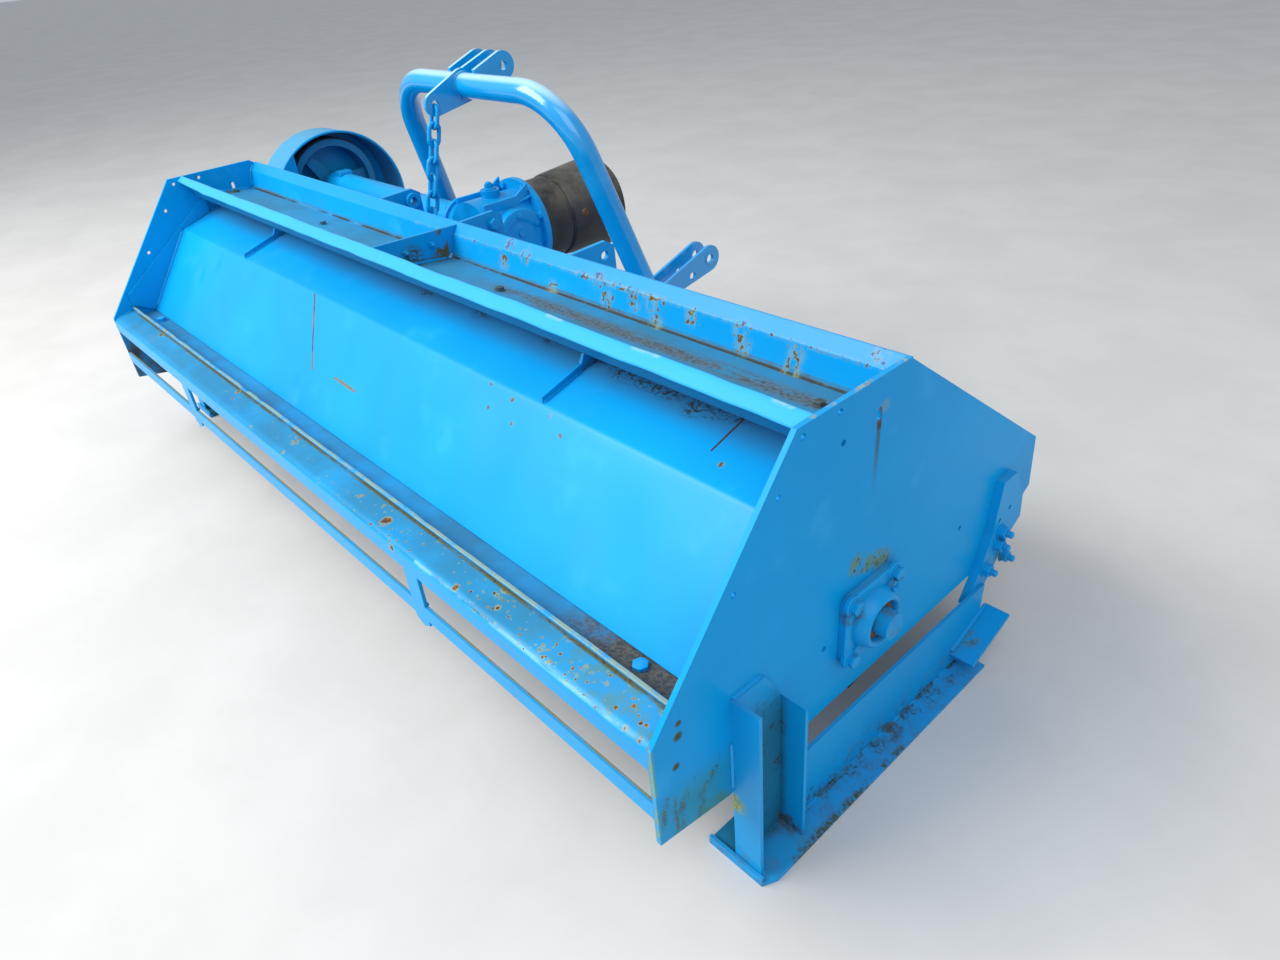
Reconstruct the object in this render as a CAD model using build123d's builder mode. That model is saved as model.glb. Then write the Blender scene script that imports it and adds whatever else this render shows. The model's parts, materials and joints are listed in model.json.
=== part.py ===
from build123d import *
import os
from math import atan, cos, hypot, radians, sin, sqrt

os.makedirs("parts", exist_ok=True)

# A three-point tractor mulcher that lies on its two skids. +X is to the right, +Y is forward
# to the tractor, +Z is up, and the origin is on the ground below the middle of its box.
# Lengths are in millimetres. Side views are drawn as (y, z), with y from the rear edge of the
# hood's end plates and z from the ground.

# Hood
WIDTH = 2800  # over the outer faces of the two end plates
DEPTH = 1474  # from the end plates' rear edge to the front of the lower hitch plates
PLATE = 10  # end plates
SHEET = 6  # folded sheets of the hood
RIB = 8  # ribs, gussets, doublers and flat bars
WELD = 0.3  # gap left where two pieces are welded along curved or slanted faces

# Rotor
ROTOR_Y = 550
ROTOR_Z = 375
DRUM_R = 110
TIP_R = 250
ROTOR_SHAFT_R = 27.5
HAMMERS = 28

# Belt drive on the left end
SHAFT_Y = 966
SHAFT_Z = 695
UPPER_PULLEY_R = 173
LOWER_PULLEY_R = 125
PULLEY_W = 80
PULLEY_GAP = 50  # from the left end plate to the pulleys' inner faces
GUARD_W = 153  # from the left end plate to the guard's cover
GUARD_SHEET = 4
GUARD_CAP = 8  # how far the shaft's cap stands out of the cover
CROSS_SHAFT_R = 20
CROSS_TUBE_R = 55

# Hitch, offset to the left of the hood's middle
HITCH_SHIFT = -300
LOWER_EYE_R = 42
LOWER_PIN_Y = DEPTH - LOWER_EYE_R
LOWER_PIN_Z = 565
LOWER_PIN_R = 14.35
LOWER_SPREAD = 886  # between the middles of the two lower clevises
LOWER_GAP = 54
LOWER_T = 10
TOP_PIN_Y = 1052
TOP_PIN_Z = 1173
TOP_PIN_R = 12.9
TOP_GAP = 52
HITCH_PLATE = 12
MAST_R = 35
MAST_TOP_Z = 1132
MAST_TOP_Y = 950
MAST_LEAN = 0.3  # rearward run of the arch for each unit of height
MAST_TOP_HALF = 426  # half the arch's width at the height of its top
MAST_FOOT_GAP = 16  # between each leg's foot and the lower clevis beside it
MAST_BEND_R = 200

# Front beam
BEAM = 100
BEAM_WALL = 6
BEAM_Y = 1078
BEAM_TOP_Z = 462

# Skids
SKID_OUT = 85  # from the end plate to the runner's outer edge
RUNNER_T = 8
RUNNER_LEG = 178
RUNNER_IN = 20
RUNNER_REAR_Y = 167
RUNNER_FRONT_Y = 930
FOOT_T = 12
FOOT_LIP = 22
FOOT_LIP_T = 7
POST_DEPTH = 62
POST_TOP_Z = 432
POST_FRONT_TOP_Z = 344

# Clearances
RUN_FIT = 0.05
SIDE_GAP = 0.4

REAR = -DEPTH / 2
HOOD_X = (GUARD_W + GUARD_SHEET + GUARD_CAP - SKID_OUT) / 2
LEFT = HOOD_X - WIDTH / 2
RIGHT = HOOD_X + WIDTH / 2
HITCH_X = HOOD_X + HITCH_SHIFT
INNER_LEFT = LEFT + PLATE
INNER_RIGHT = RIGHT - PLATE
INNER_WIDTH = WIDTH - 2 * PLATE

# Corners of the side view
PLATE_OUTLINE = [
    (0, 230),
    (0, 458),
    (337, 867),
    (634, 869),
    (1188, 465),
    (1200, 331),
    (980, 205),
    (166, 200),
]
SKIN_FOOT = (142, 450)
SKIN_CREASE = (328, 696)
SKIN_RIDGE = (590, 772)
SKIN_FRONT = (BEAM_Y - WELD, 416)
LIP_EDGE = (360, 852)
LIP_TOP = (391, 871)
LIP_FOOT = (411, 799)
FLANGE_FOOT = (616, 773)
FLANGE_BEND = (629, 834)
FLANGE_TOP = (651, 860)
LEDGE_BEND = (0, 458)
LEDGE_EDGE = (72, 469)
TROUGH_Z = 446
TROUGH_FRONT_Y = 150
SLOT_TOP_Z = 410
BAR_TOP_Z = 329
BAR_H = 40
POST_TIP_Z = 262


def side(points):
    """Side-view corners in the model's own frame."""
    return [(REAR + y, z) for y, z in points]


def along(a, b, y):
    """Height at y of the straight line from a to b in the side view."""
    return a[1] + (b[1] - a[1]) * (y - a[0]) / (b[0] - a[0])


def across(a, b, z):
    """Place at height z on the straight line from a to b in the side view."""
    return a[0] + (b[0] - a[0]) * (z - a[1]) / (b[1] - a[1])


def finish(builder, name):
    """Labels a finished piece and writes it."""
    builder.part.label = name
    export_step(builder.part, f"parts/{name}.step")


# End plates, the left one with a notch for the cross tube
PLATE_HOLE_R = 6
PLATE_HOLES = [
    (296, 767),
    (192, 645),
    (353, 847),
    (443, 850),
    (455, 789),
    (887, 380),
    (426, 365),
]
PLATE_SLOT = (551, 797)
for name, x_low in (("end_plate_left", LEFT), ("end_plate_right", INNER_RIGHT)):
    with BuildPart() as end_plate:
        with BuildSketch(Plane.YZ.offset(x_low)) as outline:
            with BuildLine():
                Polyline(*side(PLATE_OUTLINE), close=True)
            make_face()
            fillet(outline.vertices().sort_by(Axis.Y)[:2], radius=14)
            with Locations((REAR + ROTOR_Y, ROTOR_Z)):
                Circle(ROTOR_SHAFT_R + 12, mode=Mode.SUBTRACT)
            with Locations(*side(PLATE_HOLES)):
                Circle(PLATE_HOLE_R, mode=Mode.SUBTRACT)
            with Locations(*side([PLATE_SLOT])):
                SlotOverall(4 * PLATE_HOLE_R, 2 * PLATE_HOLE_R, rotation=90, mode=Mode.SUBTRACT)
            if x_low == LEFT:
                with Locations((REAR + SHAFT_Y, SHAFT_Z)):
                    Circle(CROSS_TUBE_R + WELD, mode=Mode.SUBTRACT)
        extrude(amount=PLATE)
    finish(end_plate, name)


# Doubler strips along the skin's edge, inside each end plate
DOUBLER_REAR_Y = 76
DOUBLER_REAR_Z = (487, 529)
DOUBLER_FRONT_Y = 437
DOUBLER_RISE = 60
DOUBLER = [
    (DOUBLER_REAR_Y, DOUBLER_REAR_Z[0]),
    (DOUBLER_REAR_Y, DOUBLER_REAR_Z[1]),
    (DOUBLER_FRONT_Y, along(SKIN_CREASE, SKIN_RIDGE, DOUBLER_FRONT_Y) + DOUBLER_RISE),
    (DOUBLER_FRONT_Y, along(SKIN_CREASE, SKIN_RIDGE, DOUBLER_FRONT_Y) + 1),
    (SKIN_CREASE[0] - 1, SKIN_CREASE[1] + 1),
    (SKIN_FOOT[0] - 1, SKIN_FOOT[1] + 2),
]
for name, x_low in (
    ("doubler_left", INNER_LEFT),
    ("doubler_right", INNER_RIGHT - RIB),
):
    with BuildPart() as doubler:
        with BuildSketch(Plane.YZ.offset(x_low)):
            with BuildLine():
                Polyline(*side(DOUBLER), close=True)
            make_face()
        extrude(amount=RIB)
    finish(doubler, name)


# Hood skin: one sheet from the rear trough over the ridge to the front beam
with BuildPart() as hood_skin:
    with BuildSketch(Plane.YZ.offset(INNER_LEFT)):
        with BuildLine():
            FilletPolyline(*side([SKIN_FOOT, SKIN_CREASE, SKIN_RIDGE, SKIN_FRONT]), radius=20)
            offset(amount=SHEET, side=Side.RIGHT)
        make_face()
    extrude(amount=INNER_WIDTH)
finish(hood_skin, "hood_skin")


# Top tray: a rear wall whose edge is folded over to the rear, a floor, a front flange with a bend
FOLD_R = 6.5
TRAY_BEND_R = 8
with BuildPart() as top_tray:
    with BuildSketch(Plane.YZ.offset(INNER_LEFT)):
        with BuildLine():
            FilletPolyline(
                *side([LIP_EDGE, LIP_TOP, LIP_FOOT, FLANGE_FOOT, FLANGE_BEND, FLANGE_TOP]),
                radius=(FOLD_R, TRAY_BEND_R, TRAY_BEND_R, TRAY_BEND_R),
            )
            offset(amount=SHEET, side=Side.RIGHT)
        make_face()
    extrude(amount=INNER_WIDTH)
finish(top_tray, "top_tray")

# Gusset across the tray, its lower corners cut off at the tray's bends
GUSSET_CUT = 18
GUSSET_TOP_Z = (LIP_TOP[1] - 8, FLANGE_TOP[1] - 5)
TRAY_GUSSET = [
    (across(LIP_TOP, LIP_FOOT, GUSSET_TOP_Z[0]) + WELD, GUSSET_TOP_Z[0]),
    (across(LIP_TOP, LIP_FOOT, LIP_FOOT[1] + GUSSET_CUT) + WELD, LIP_FOOT[1] + GUSSET_CUT),
    (
        LIP_FOOT[0] + GUSSET_CUT,
        along(LIP_FOOT, FLANGE_FOOT, LIP_FOOT[0] + GUSSET_CUT) + WELD,
    ),
    (
        FLANGE_FOOT[0] - GUSSET_CUT,
        along(LIP_FOOT, FLANGE_FOOT, FLANGE_FOOT[0] - GUSSET_CUT) + WELD,
    ),
    (
        across(FLANGE_FOOT, FLANGE_BEND, FLANGE_FOOT[1] + GUSSET_CUT) - WELD,
        FLANGE_FOOT[1] + GUSSET_CUT,
    ),
    (FLANGE_BEND[0] - WELD, FLANGE_BEND[1]),
    (across(FLANGE_BEND, FLANGE_TOP, GUSSET_TOP_Z[1]) - WELD, GUSSET_TOP_Z[1]),
]
with BuildPart() as tray_gusset:
    with BuildSketch(Plane.YZ.offset(HOOD_X - RIB / 2)):
        with BuildLine():
            Polyline(*side(TRAY_GUSSET), close=True)
        make_face()
    extrude(amount=RIB)
finish(tray_gusset, "tray_gusset")


# Low ribs on the skin, which rise to the tray's floor under it
RIB_X = (-810, 755)
RIB_H = 15
RIB_RISE_Y = (440, 462, 560)
LIP_RIB = [
    (SKIN_CREASE[0] + 3, along(SKIN_CREASE, SKIN_RIDGE, SKIN_CREASE[0] + 3) + WELD),
    (SKIN_CREASE[0] + 3, SKIN_CREASE[1] + RIB_H),
    (RIB_RISE_Y[0], along(SKIN_CREASE, SKIN_RIDGE, RIB_RISE_Y[0]) + RIB_H),
    (RIB_RISE_Y[1], along(LIP_FOOT, FLANGE_FOOT, RIB_RISE_Y[1]) - SHEET - 1),
    (RIB_RISE_Y[2], along(LIP_FOOT, FLANGE_FOOT, RIB_RISE_Y[2]) - SHEET - 1),
    (RIB_RISE_Y[2], along(SKIN_CREASE, SKIN_RIDGE, RIB_RISE_Y[2]) + WELD),
]
with BuildPart() as lip_ribs:
    for x in RIB_X:
        with BuildSketch(Plane.YZ.offset(HOOD_X + x - RIB / 2)):
            with BuildLine():
                Polyline(*side(LIP_RIB), close=True)
            make_face()
        extrude(amount=RIB)
finish(lip_ribs, "lip_ribs")


# Rear beam: a sheet folded over a rounded bend to a ledge, a bar on edge that the ledge butts
# against, and the trough's floor
BEAM_BEND_R = 18
WALL_REAR_Y = 71
WALL_FRONT_Y = 80
WALL_TOP_Z = 480
WALL_LOW_Z = TROUGH_Z - SHEET
with BuildPart() as rear_beam:
    with BuildSketch(Plane.YZ.offset(INNER_LEFT)):
        with BuildLine():
            FilletPolyline(*side([(0, SLOT_TOP_Z), LEDGE_BEND, LEDGE_EDGE]), radius=BEAM_BEND_R)
            offset(amount=SHEET, side=Side.RIGHT)
        make_face()
        with Locations((REAR + (WALL_REAR_Y + WALL_FRONT_Y) / 2, (WALL_LOW_Z + WALL_TOP_Z) / 2)):
            Rectangle(WALL_FRONT_Y - WALL_REAR_Y, WALL_TOP_Z - WALL_LOW_Z)
        with Locations((REAR + (WALL_FRONT_Y + TROUGH_FRONT_Y) / 2, TROUGH_Z - SHEET / 2)):
            Rectangle(TROUGH_FRONT_Y - WALL_FRONT_Y, SHEET)
    extrude(amount=INNER_WIDTH)
finish(rear_beam, "rear_beam")

# Posts and flat bars that leave three slots below the rear beam
SLOT_POST_X = (-708, 666)
SLOT_POST_W = 55
BAR_ENDS = (-INNER_WIDTH / 2, *SLOT_POST_X, INNER_WIDTH / 2)
with BuildPart() as rear_bars:
    with BuildSketch(Plane.XZ.offset(-REAR)):
        for x in SLOT_POST_X:
            with BuildLine():
                Polyline(
                    (HOOD_X + x - SLOT_POST_W / 2, SLOT_TOP_Z),
                    (HOOD_X + x + SLOT_POST_W / 2, SLOT_TOP_Z),
                    (HOOD_X + x + SLOT_POST_W / 2, POST_TIP_Z + 14),
                    (HOOD_X + x, POST_TIP_Z),
                    (HOOD_X + x - SLOT_POST_W / 2, POST_TIP_Z + 14),
                    close=True,
                )
            make_face()
        with Locations((HOOD_X, BAR_TOP_Z - BAR_H / 2)):
            Rectangle(INNER_WIDTH, BAR_H)
    extrude(amount=-RIB)
finish(rear_bars, "rear_bars")


# Three lugs in front of the tray's flange
LUG_X = (-440, 0, 475)
LUG_T = 12
LUG_HOLE = (758, 828)
LUG_HOLE_R = 11
LUG_FRONT_Y = 793
LUG_OUTLINE = [
    (FLANGE_TOP[0] + SHEET + WELD, along(SKIN_RIDGE, SKIN_FRONT, FLANGE_TOP[0] + SHEET) + WELD),
    (FLANGE_TOP[0] + SHEET + WELD, FLANGE_TOP[1] - 2),
    (LUG_FRONT_Y - 29, FLANGE_TOP[1] + 2),
    (LUG_FRONT_Y - 3, FLANGE_TOP[1] - 14),
    (LUG_FRONT_Y, along(SKIN_RIDGE, SKIN_FRONT, LUG_FRONT_Y) + WELD),
]
with BuildPart() as front_lugs:
    for x in LUG_X:
        with BuildSketch(Plane.YZ.offset(HOOD_X + x - LUG_T / 2)):
            with BuildLine():
                Polyline(*side(LUG_OUTLINE), close=True)
            make_face()
            with Locations(*side([LUG_HOLE])):
                Circle(LUG_HOLE_R, mode=Mode.SUBTRACT)
        extrude(amount=LUG_T)
finish(front_lugs, "front_lugs")


# Front beam between the end plates
with BuildPart() as front_beam:
    with BuildSketch(Plane.YZ.offset(INNER_LEFT)):
        with Locations((REAR + BEAM_Y + BEAM / 2, BEAM_TOP_Z - BEAM / 2)):
            RectangleRounded(BEAM, BEAM, 12)
            RectangleRounded(BEAM - 2 * BEAM_WALL, BEAM - 2 * BEAM_WALL, 6, mode=Mode.SUBTRACT)
    extrude(amount=INNER_WIDTH)
finish(front_beam, "front_beam")

# Rubber curtain with slits, clamped below the front beam
CURTAIN_T = 8
CURTAIN_LOW_Z = 190
CURTAIN_STRIPS = 20
CURTAIN_SLIT = 3
CURTAIN_Y = BEAM_Y + 30
BEAM_LOW_Z = BEAM_TOP_Z - BEAM
STRIP_PITCH = INNER_WIDTH / CURTAIN_STRIPS
with BuildPart() as front_curtain:
    with BuildSketch(Plane.XZ.offset(-REAR - CURTAIN_Y)):
        with Locations((HOOD_X, (BEAM_LOW_Z + CURTAIN_LOW_Z) / 2)):
            Rectangle(INNER_WIDTH - 2 * SIDE_GAP, BEAM_LOW_Z - CURTAIN_LOW_Z)
        with Locations((HOOD_X, CURTAIN_LOW_Z)):
            with GridLocations(STRIP_PITCH, 1, CURTAIN_STRIPS - 1, 1):
                Rectangle(
                    CURTAIN_SLIT,
                    2 * (BEAM_LOW_Z - CURTAIN_LOW_Z - 45),
                    mode=Mode.SUBTRACT,
                )
    extrude(amount=-CURTAIN_T)
finish(front_curtain, "front_curtain")

CLAMP_BAR_H = 40
with BuildPart() as curtain_bar:
    with Locations(
        (
            HOOD_X,
            REAR + CURTAIN_Y + CURTAIN_T + SHEET / 2,
            BEAM_LOW_Z - CLAMP_BAR_H / 2,
        )
    ):
        Box(INNER_WIDTH - 2 * SIDE_GAP, SHEET, CLAMP_BAR_H)
finish(curtain_bar, "curtain_bar")


# Square flanged bearings of the rotor on the outer faces of the end plates
BEARING_SQUARE = 162
BEARING_BASE = 18
BEARING_BOSS_R = 52
BEARING_OUT = 46
BOLT_PITCH = 130
for name, x_face, way in (("bearing_left", LEFT, -1), ("bearing_right", RIGHT, 1)):
    plane = Plane(origin=(x_face, REAR + ROTOR_Y, ROTOR_Z), x_dir=(0, way, 0), z_dir=(way, 0, 0))
    with BuildPart() as bearing:
        with BuildSketch(plane):
            RectangleRounded(BEARING_SQUARE, BEARING_SQUARE, 24)
        extrude(amount=BEARING_BASE)
        with BuildSketch(plane.offset(BEARING_BASE)):
            Circle(BEARING_BOSS_R + 10)
        extrude(amount=BEARING_OUT - BEARING_BASE, taper=18)
        with BuildSketch(plane.offset(BEARING_OUT)):
            Circle(BEARING_BOSS_R - 12)
        extrude(amount=-12, mode=Mode.SUBTRACT)
        with BuildSketch(plane):
            Circle(ROTOR_SHAFT_R + RUN_FIT)
        extrude(amount=BEARING_OUT, mode=Mode.SUBTRACT)
    finish(bearing, name)


# Rotor drum with its shafts and the ears that carry the hammers
DRUM_END_GAP = 14
DRUM_LENGTH = INNER_WIDTH - 2 * DRUM_END_GAP
SHAFT_RIGHT_OUT = 66
SHAFT_LEFT_OUT = PULLEY_GAP + PULLEY_W + 6
HAMMER_PITCH = (DRUM_LENGTH - 110) / (HAMMERS - 1)
HAMMER_STEP = 77  # degrees between one hammer and the next along the drum
HAMMER_SHANK_W = 36
HAMMER_HEAD_W = 88
HAMMER_PIVOT_R = 150
EAR_T = 10
EAR_R = 26
EAR_FACE = [
    (DRUM_R - 8, -EAR_R - 10),
    (DRUM_R - 8, EAR_R + 10),
    (HAMMER_PIVOT_R, EAR_R),
    (HAMMER_PIVOT_R + EAR_R, 12),
    (HAMMER_PIVOT_R + EAR_R, -12),
    (HAMMER_PIVOT_R, -EAR_R),
]


def hammer_planes(shift):
    """One plane across the drum for each hammer, its local +X outward, moved along the axis."""
    for i in range(HAMMERS):
        turn = radians(i * HAMMER_STEP)
        yield Plane(
            origin=(HOOD_X + (i - (HAMMERS - 1) / 2) * HAMMER_PITCH + shift, REAR + ROTOR_Y, ROTOR_Z),
            x_dir=(0, cos(turn), sin(turn)),
            z_dir=(1, 0, 0),
        )


with BuildPart() as rotor_drum:
    with BuildSketch(Plane.YZ.offset(HOOD_X - DRUM_LENGTH / 2)):
        with Locations((REAR + ROTOR_Y, ROTOR_Z)):
            Circle(DRUM_R)
    extrude(amount=DRUM_LENGTH)
    with BuildSketch(Plane.YZ.offset(LEFT - SHAFT_LEFT_OUT)):
        with Locations((REAR + ROTOR_Y, ROTOR_Z)):
            Circle(ROTOR_SHAFT_R)
    extrude(amount=WIDTH + SHAFT_LEFT_OUT + SHAFT_RIGHT_OUT)
    for ear_side in (-1, 1):
        shift = ear_side * (HAMMER_SHANK_W / 2 + SIDE_GAP + EAR_T / 2) - EAR_T / 2
        for plane in hammer_planes(shift):
            with BuildSketch(plane):
                with BuildLine():
                    Polyline(*EAR_FACE, close=True)
                make_face()
            extrude(amount=EAR_T)
finish(rotor_drum, "rotor_drum")

# Hammers, standing out as they do when the rotor turns
HAMMER_FACE = [
    (HAMMER_PIVOT_R - 24, -17),
    (HAMMER_PIVOT_R - 24, 17),
    (HAMMER_PIVOT_R + 34, 17),
    (TIP_R - 30, 24),
    (TIP_R - 6, 34),
    (TIP_R - 3, -20),
    (HAMMER_PIVOT_R + 34, -22),
]
HAMMER_HEAD = [
    (HAMMER_PIVOT_R + 34, 17),
    (TIP_R - 30, 24),
    (TIP_R - 6, 34),
    (TIP_R - 3, -20),
    (HAMMER_PIVOT_R + 34, -22),
]
with BuildPart() as rotor_hammers:
    for plane in hammer_planes(-HAMMER_SHANK_W / 2):
        with BuildSketch(plane):
            with BuildLine():
                Polyline(*HAMMER_FACE, close=True)
            make_face()
        extrude(amount=HAMMER_SHANK_W)
    for plane in hammer_planes(-HAMMER_HEAD_W / 2):
        with BuildSketch(plane):
            with BuildLine():
                Polyline(*HAMMER_HEAD, close=True)
            make_face()
        extrude(amount=HAMMER_HEAD_W)
finish(rotor_hammers, "rotor_hammers")


# Pulleys with low flanges, and one wide belt that stands for the set of belts
PULLEY_IN_X = LEFT - PULLEY_GAP
PULLEY_OUT_X = PULLEY_IN_X - PULLEY_W
PULLEY_FLANGE = 4
PULLEY_LIP = 3
BELT_H = 9
BELT_W = PULLEY_W - 2 * PULLEY_FLANGE - 2
HUB_R = 46
SPOKES = 3
SPOKE_W = 44
SPOKE_T = 28
RIM_IN_R = UPPER_PULLEY_R - 27
with BuildPart() as upper_pulley:
    with BuildSketch(Plane.YZ.offset(PULLEY_OUT_X)):
        with Locations((REAR + SHAFT_Y, SHAFT_Z)):
            Circle(UPPER_PULLEY_R)
            Circle(RIM_IN_R, mode=Mode.SUBTRACT)
    extrude(amount=PULLEY_W)
    with BuildSketch(Plane.YZ.offset(PULLEY_OUT_X + (PULLEY_W - SPOKE_T) / 2)):
        with Locations((REAR + SHAFT_Y, SHAFT_Z)):
            Circle(HUB_R)
            with PolarLocations((RIM_IN_R + HUB_R) / 2, SPOKES, start_angle=5):
                Rectangle(RIM_IN_R - HUB_R + 40, SPOKE_W)
    extrude(amount=SPOKE_T)
    with BuildSketch(Plane.YZ.offset(PULLEY_OUT_X + 2)):
        with Locations((REAR + SHAFT_Y, SHAFT_Z)):
            Circle(HUB_R)
    extrude(amount=PULLEY_W - 4)
    with BuildSketch(Plane.YZ.offset(PULLEY_OUT_X)):
        with Locations((REAR + SHAFT_Y, SHAFT_Z)):
            Circle(CROSS_SHAFT_R)
    extrude(amount=PULLEY_W, mode=Mode.SUBTRACT)
    with BuildSketch(Plane.YZ.offset(PULLEY_OUT_X + PULLEY_FLANGE)):
        with Locations((REAR + SHAFT_Y, SHAFT_Z)):
            Circle(UPPER_PULLEY_R)
            Circle(UPPER_PULLEY_R - PULLEY_LIP, mode=Mode.SUBTRACT)
    extrude(amount=PULLEY_W - 2 * PULLEY_FLANGE, mode=Mode.SUBTRACT)
finish(upper_pulley, "upper_pulley")

with BuildPart() as lower_pulley:
    with BuildSketch(Plane.YZ.offset(PULLEY_OUT_X)):
        with Locations((REAR + ROTOR_Y, ROTOR_Z)):
            Circle(LOWER_PULLEY_R)
            Circle(ROTOR_SHAFT_R, mode=Mode.SUBTRACT)
    extrude(amount=PULLEY_W)
    with BuildSketch(Plane.YZ.offset(PULLEY_OUT_X + PULLEY_FLANGE)):
        with Locations((REAR + ROTOR_Y, ROTOR_Z)):
            Circle(LOWER_PULLEY_R)
            Circle(LOWER_PULLEY_R - PULLEY_LIP, mode=Mode.SUBTRACT)
    extrude(amount=PULLEY_W - 2 * PULLEY_FLANGE, mode=Mode.SUBTRACT)
finish(lower_pulley, "lower_pulley")


def belt_hull(out):
    """Face round both pulleys, grown from the seats of the belt."""
    with Locations((REAR + SHAFT_Y, SHAFT_Z)):
        Circle(UPPER_PULLEY_R - PULLEY_LIP + out)
    with Locations((REAR + ROTOR_Y, ROTOR_Z)):
        Circle(LOWER_PULLEY_R - PULLEY_LIP + out)
    make_hull()


with BuildPart() as drive_belt:
    with BuildSketch(Plane.YZ.offset(PULLEY_IN_X - (PULLEY_W + BELT_W) / 2)):
        belt_hull(WELD + BELT_H)
        with BuildSketch(mode=Mode.SUBTRACT):
            belt_hull(WELD)
    extrude(amount=BELT_W)
finish(drive_belt, "drive_belt")


# Cross shaft inside its tube, from the gearbox to the upper pulley
CASE_HALF_X = 115
NECK_OUT = 80
TUBE_START_X = HITCH_X - CASE_HALF_X - NECK_OUT
TUBE_END_X = LEFT - 22
TUBE_BORE_R = CROSS_SHAFT_R + 12
BUSH_LENGTH = 20
TUBE_PAD = 50
TUBE_PAD_H = 10
with BuildPart() as cross_tube:
    with BuildSketch(Plane.YZ.offset(TUBE_END_X)):
        with Locations((REAR + SHAFT_Y, SHAFT_Z)):
            Circle(CROSS_TUBE_R)
            Circle(TUBE_BORE_R, mode=Mode.SUBTRACT)
    extrude(amount=TUBE_START_X - TUBE_END_X)
    with BuildSketch(Plane.YZ.offset(TUBE_END_X)):
        with Locations((REAR + SHAFT_Y, SHAFT_Z)):
            Circle(TUBE_BORE_R + 2)
            Circle(CROSS_SHAFT_R + RUN_FIT, mode=Mode.SUBTRACT)
    extrude(amount=BUSH_LENGTH)
    with BuildSketch(Plane.XY.offset(SHAFT_Z + CROSS_TUBE_R + TUBE_PAD_H)):
        with Locations((LEFT + 20 + TUBE_PAD / 2, REAR + SHAFT_Y)):
            Rectangle(TUBE_PAD, TUBE_PAD)
    extrude(amount=-TUBE_PAD_H - 4)
finish(cross_tube, "cross_tube")

with BuildPart() as cross_shaft:
    with BuildSketch(Plane.YZ.offset(PULLEY_IN_X - PULLEY_W - 4)):
        with Locations((REAR + SHAFT_Y, SHAFT_Z)):
            Circle(CROSS_SHAFT_R)
    extrude(amount=TUBE_START_X + NECK_OUT - 1 - PULLEY_IN_X + PULLEY_W + 4)
finish(cross_shaft, "cross_shaft")

# Saddles that carry the cross tube on the hood
SADDLE_X = (100 - WIDTH / 2, HITCH_SHIFT - 460)
SADDLE_HALF = 48
with BuildPart() as tube_saddles:
    for x in SADDLE_X:
        with BuildSketch(Plane.YZ.offset(HOOD_X + x - RIB / 2)):
            with BuildLine():
                Polyline(
                    *side(
                        [
                            (
                                SHAFT_Y - SADDLE_HALF,
                                along(SKIN_RIDGE, SKIN_FRONT, SHAFT_Y - SADDLE_HALF) + WELD,
                            ),
                            (SHAFT_Y - SADDLE_HALF, SHAFT_Z),
                            (SHAFT_Y + SADDLE_HALF, SHAFT_Z),
                            (
                                SHAFT_Y + SADDLE_HALF,
                                along(SKIN_RIDGE, SKIN_FRONT, SHAFT_Y + SADDLE_HALF) + WELD,
                            ),
                        ]
                    ),
                    close=True,
                )
            make_face()
            with Locations((REAR + SHAFT_Y, SHAFT_Z)):
                Circle(CROSS_TUBE_R + WELD, mode=Mode.SUBTRACT)
        extrude(amount=RIB)
finish(tube_saddles, "tube_saddles")


# Bevel gearbox: round casing, front flange, side covers, neck to the cross tube, filler boss
STUB_R = 17.45
STUB_LENGTH = 96
STUB_IN = 30
SPLINES = 6
CASE_R = 118
CASE_REAR_Y = 868
CASE_FRONT_Y = 1046
CASE_LOW = 124  # from the shaft down to the case's flat bottom
CASE_LENGTH = CASE_FRONT_Y - CASE_REAR_Y
COVER_R = 88
COVER_OUT = 12
FILLER_R = 30
FILLER_H = 20
FLANGE_R = 150
FLANGE_T = 18
case_plane = Plane(origin=(HITCH_X, REAR + CASE_REAR_Y, SHAFT_Z), x_dir=(1, 0, 0), z_dir=(0, 1, 0))
with BuildPart() as gearbox:
    with BuildSketch(case_plane):
        Circle(CASE_R)
        with Locations((0, CASE_LOW / 2)):
            Rectangle(2 * CASE_HALF_X - 6, CASE_LOW)
    extrude(amount=CASE_LENGTH)
    with BuildSketch(case_plane.offset(CASE_LENGTH)):
        Circle(FLANGE_R)
    extrude(amount=FLANGE_T)
    with BuildSketch(Plane.YZ.offset(HITCH_X - CASE_HALF_X)):
        with Locations((REAR + SHAFT_Y, SHAFT_Z)):
            Circle(COVER_R)
    extrude(amount=2 * CASE_HALF_X + COVER_OUT)
    with BuildSketch(Plane.YZ.offset(TUBE_START_X)):
        with Locations((REAR + SHAFT_Y, SHAFT_Z)):
            Circle(CROSS_TUBE_R + 14)
    with BuildSketch(Plane.YZ.offset(HITCH_X - CASE_HALF_X)):
        with Locations((REAR + SHAFT_Y, SHAFT_Z)):
            Circle(COVER_R)
    loft()
    with BuildSketch(Plane.XY.offset(SHAFT_Z + CASE_R + FILLER_H)):
        with Locations((HITCH_X, REAR + (CASE_REAR_Y + CASE_FRONT_Y) / 2)):
            Circle(FILLER_R)
    extrude(amount=-FILLER_H - 6)
    with BuildSketch(Plane.YZ.offset(TUBE_START_X)):
        with Locations((REAR + SHAFT_Y, SHAFT_Z)):
            Circle(CROSS_SHAFT_R + RUN_FIT)
    extrude(amount=NECK_OUT, mode=Mode.SUBTRACT)
    with BuildSketch(case_plane.offset(CASE_LENGTH + FLANGE_T)):
        Circle(STUB_R + RUN_FIT)
    extrude(amount=-STUB_IN - WELD, mode=Mode.SUBTRACT)
finish(gearbox, "gearbox")

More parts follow.
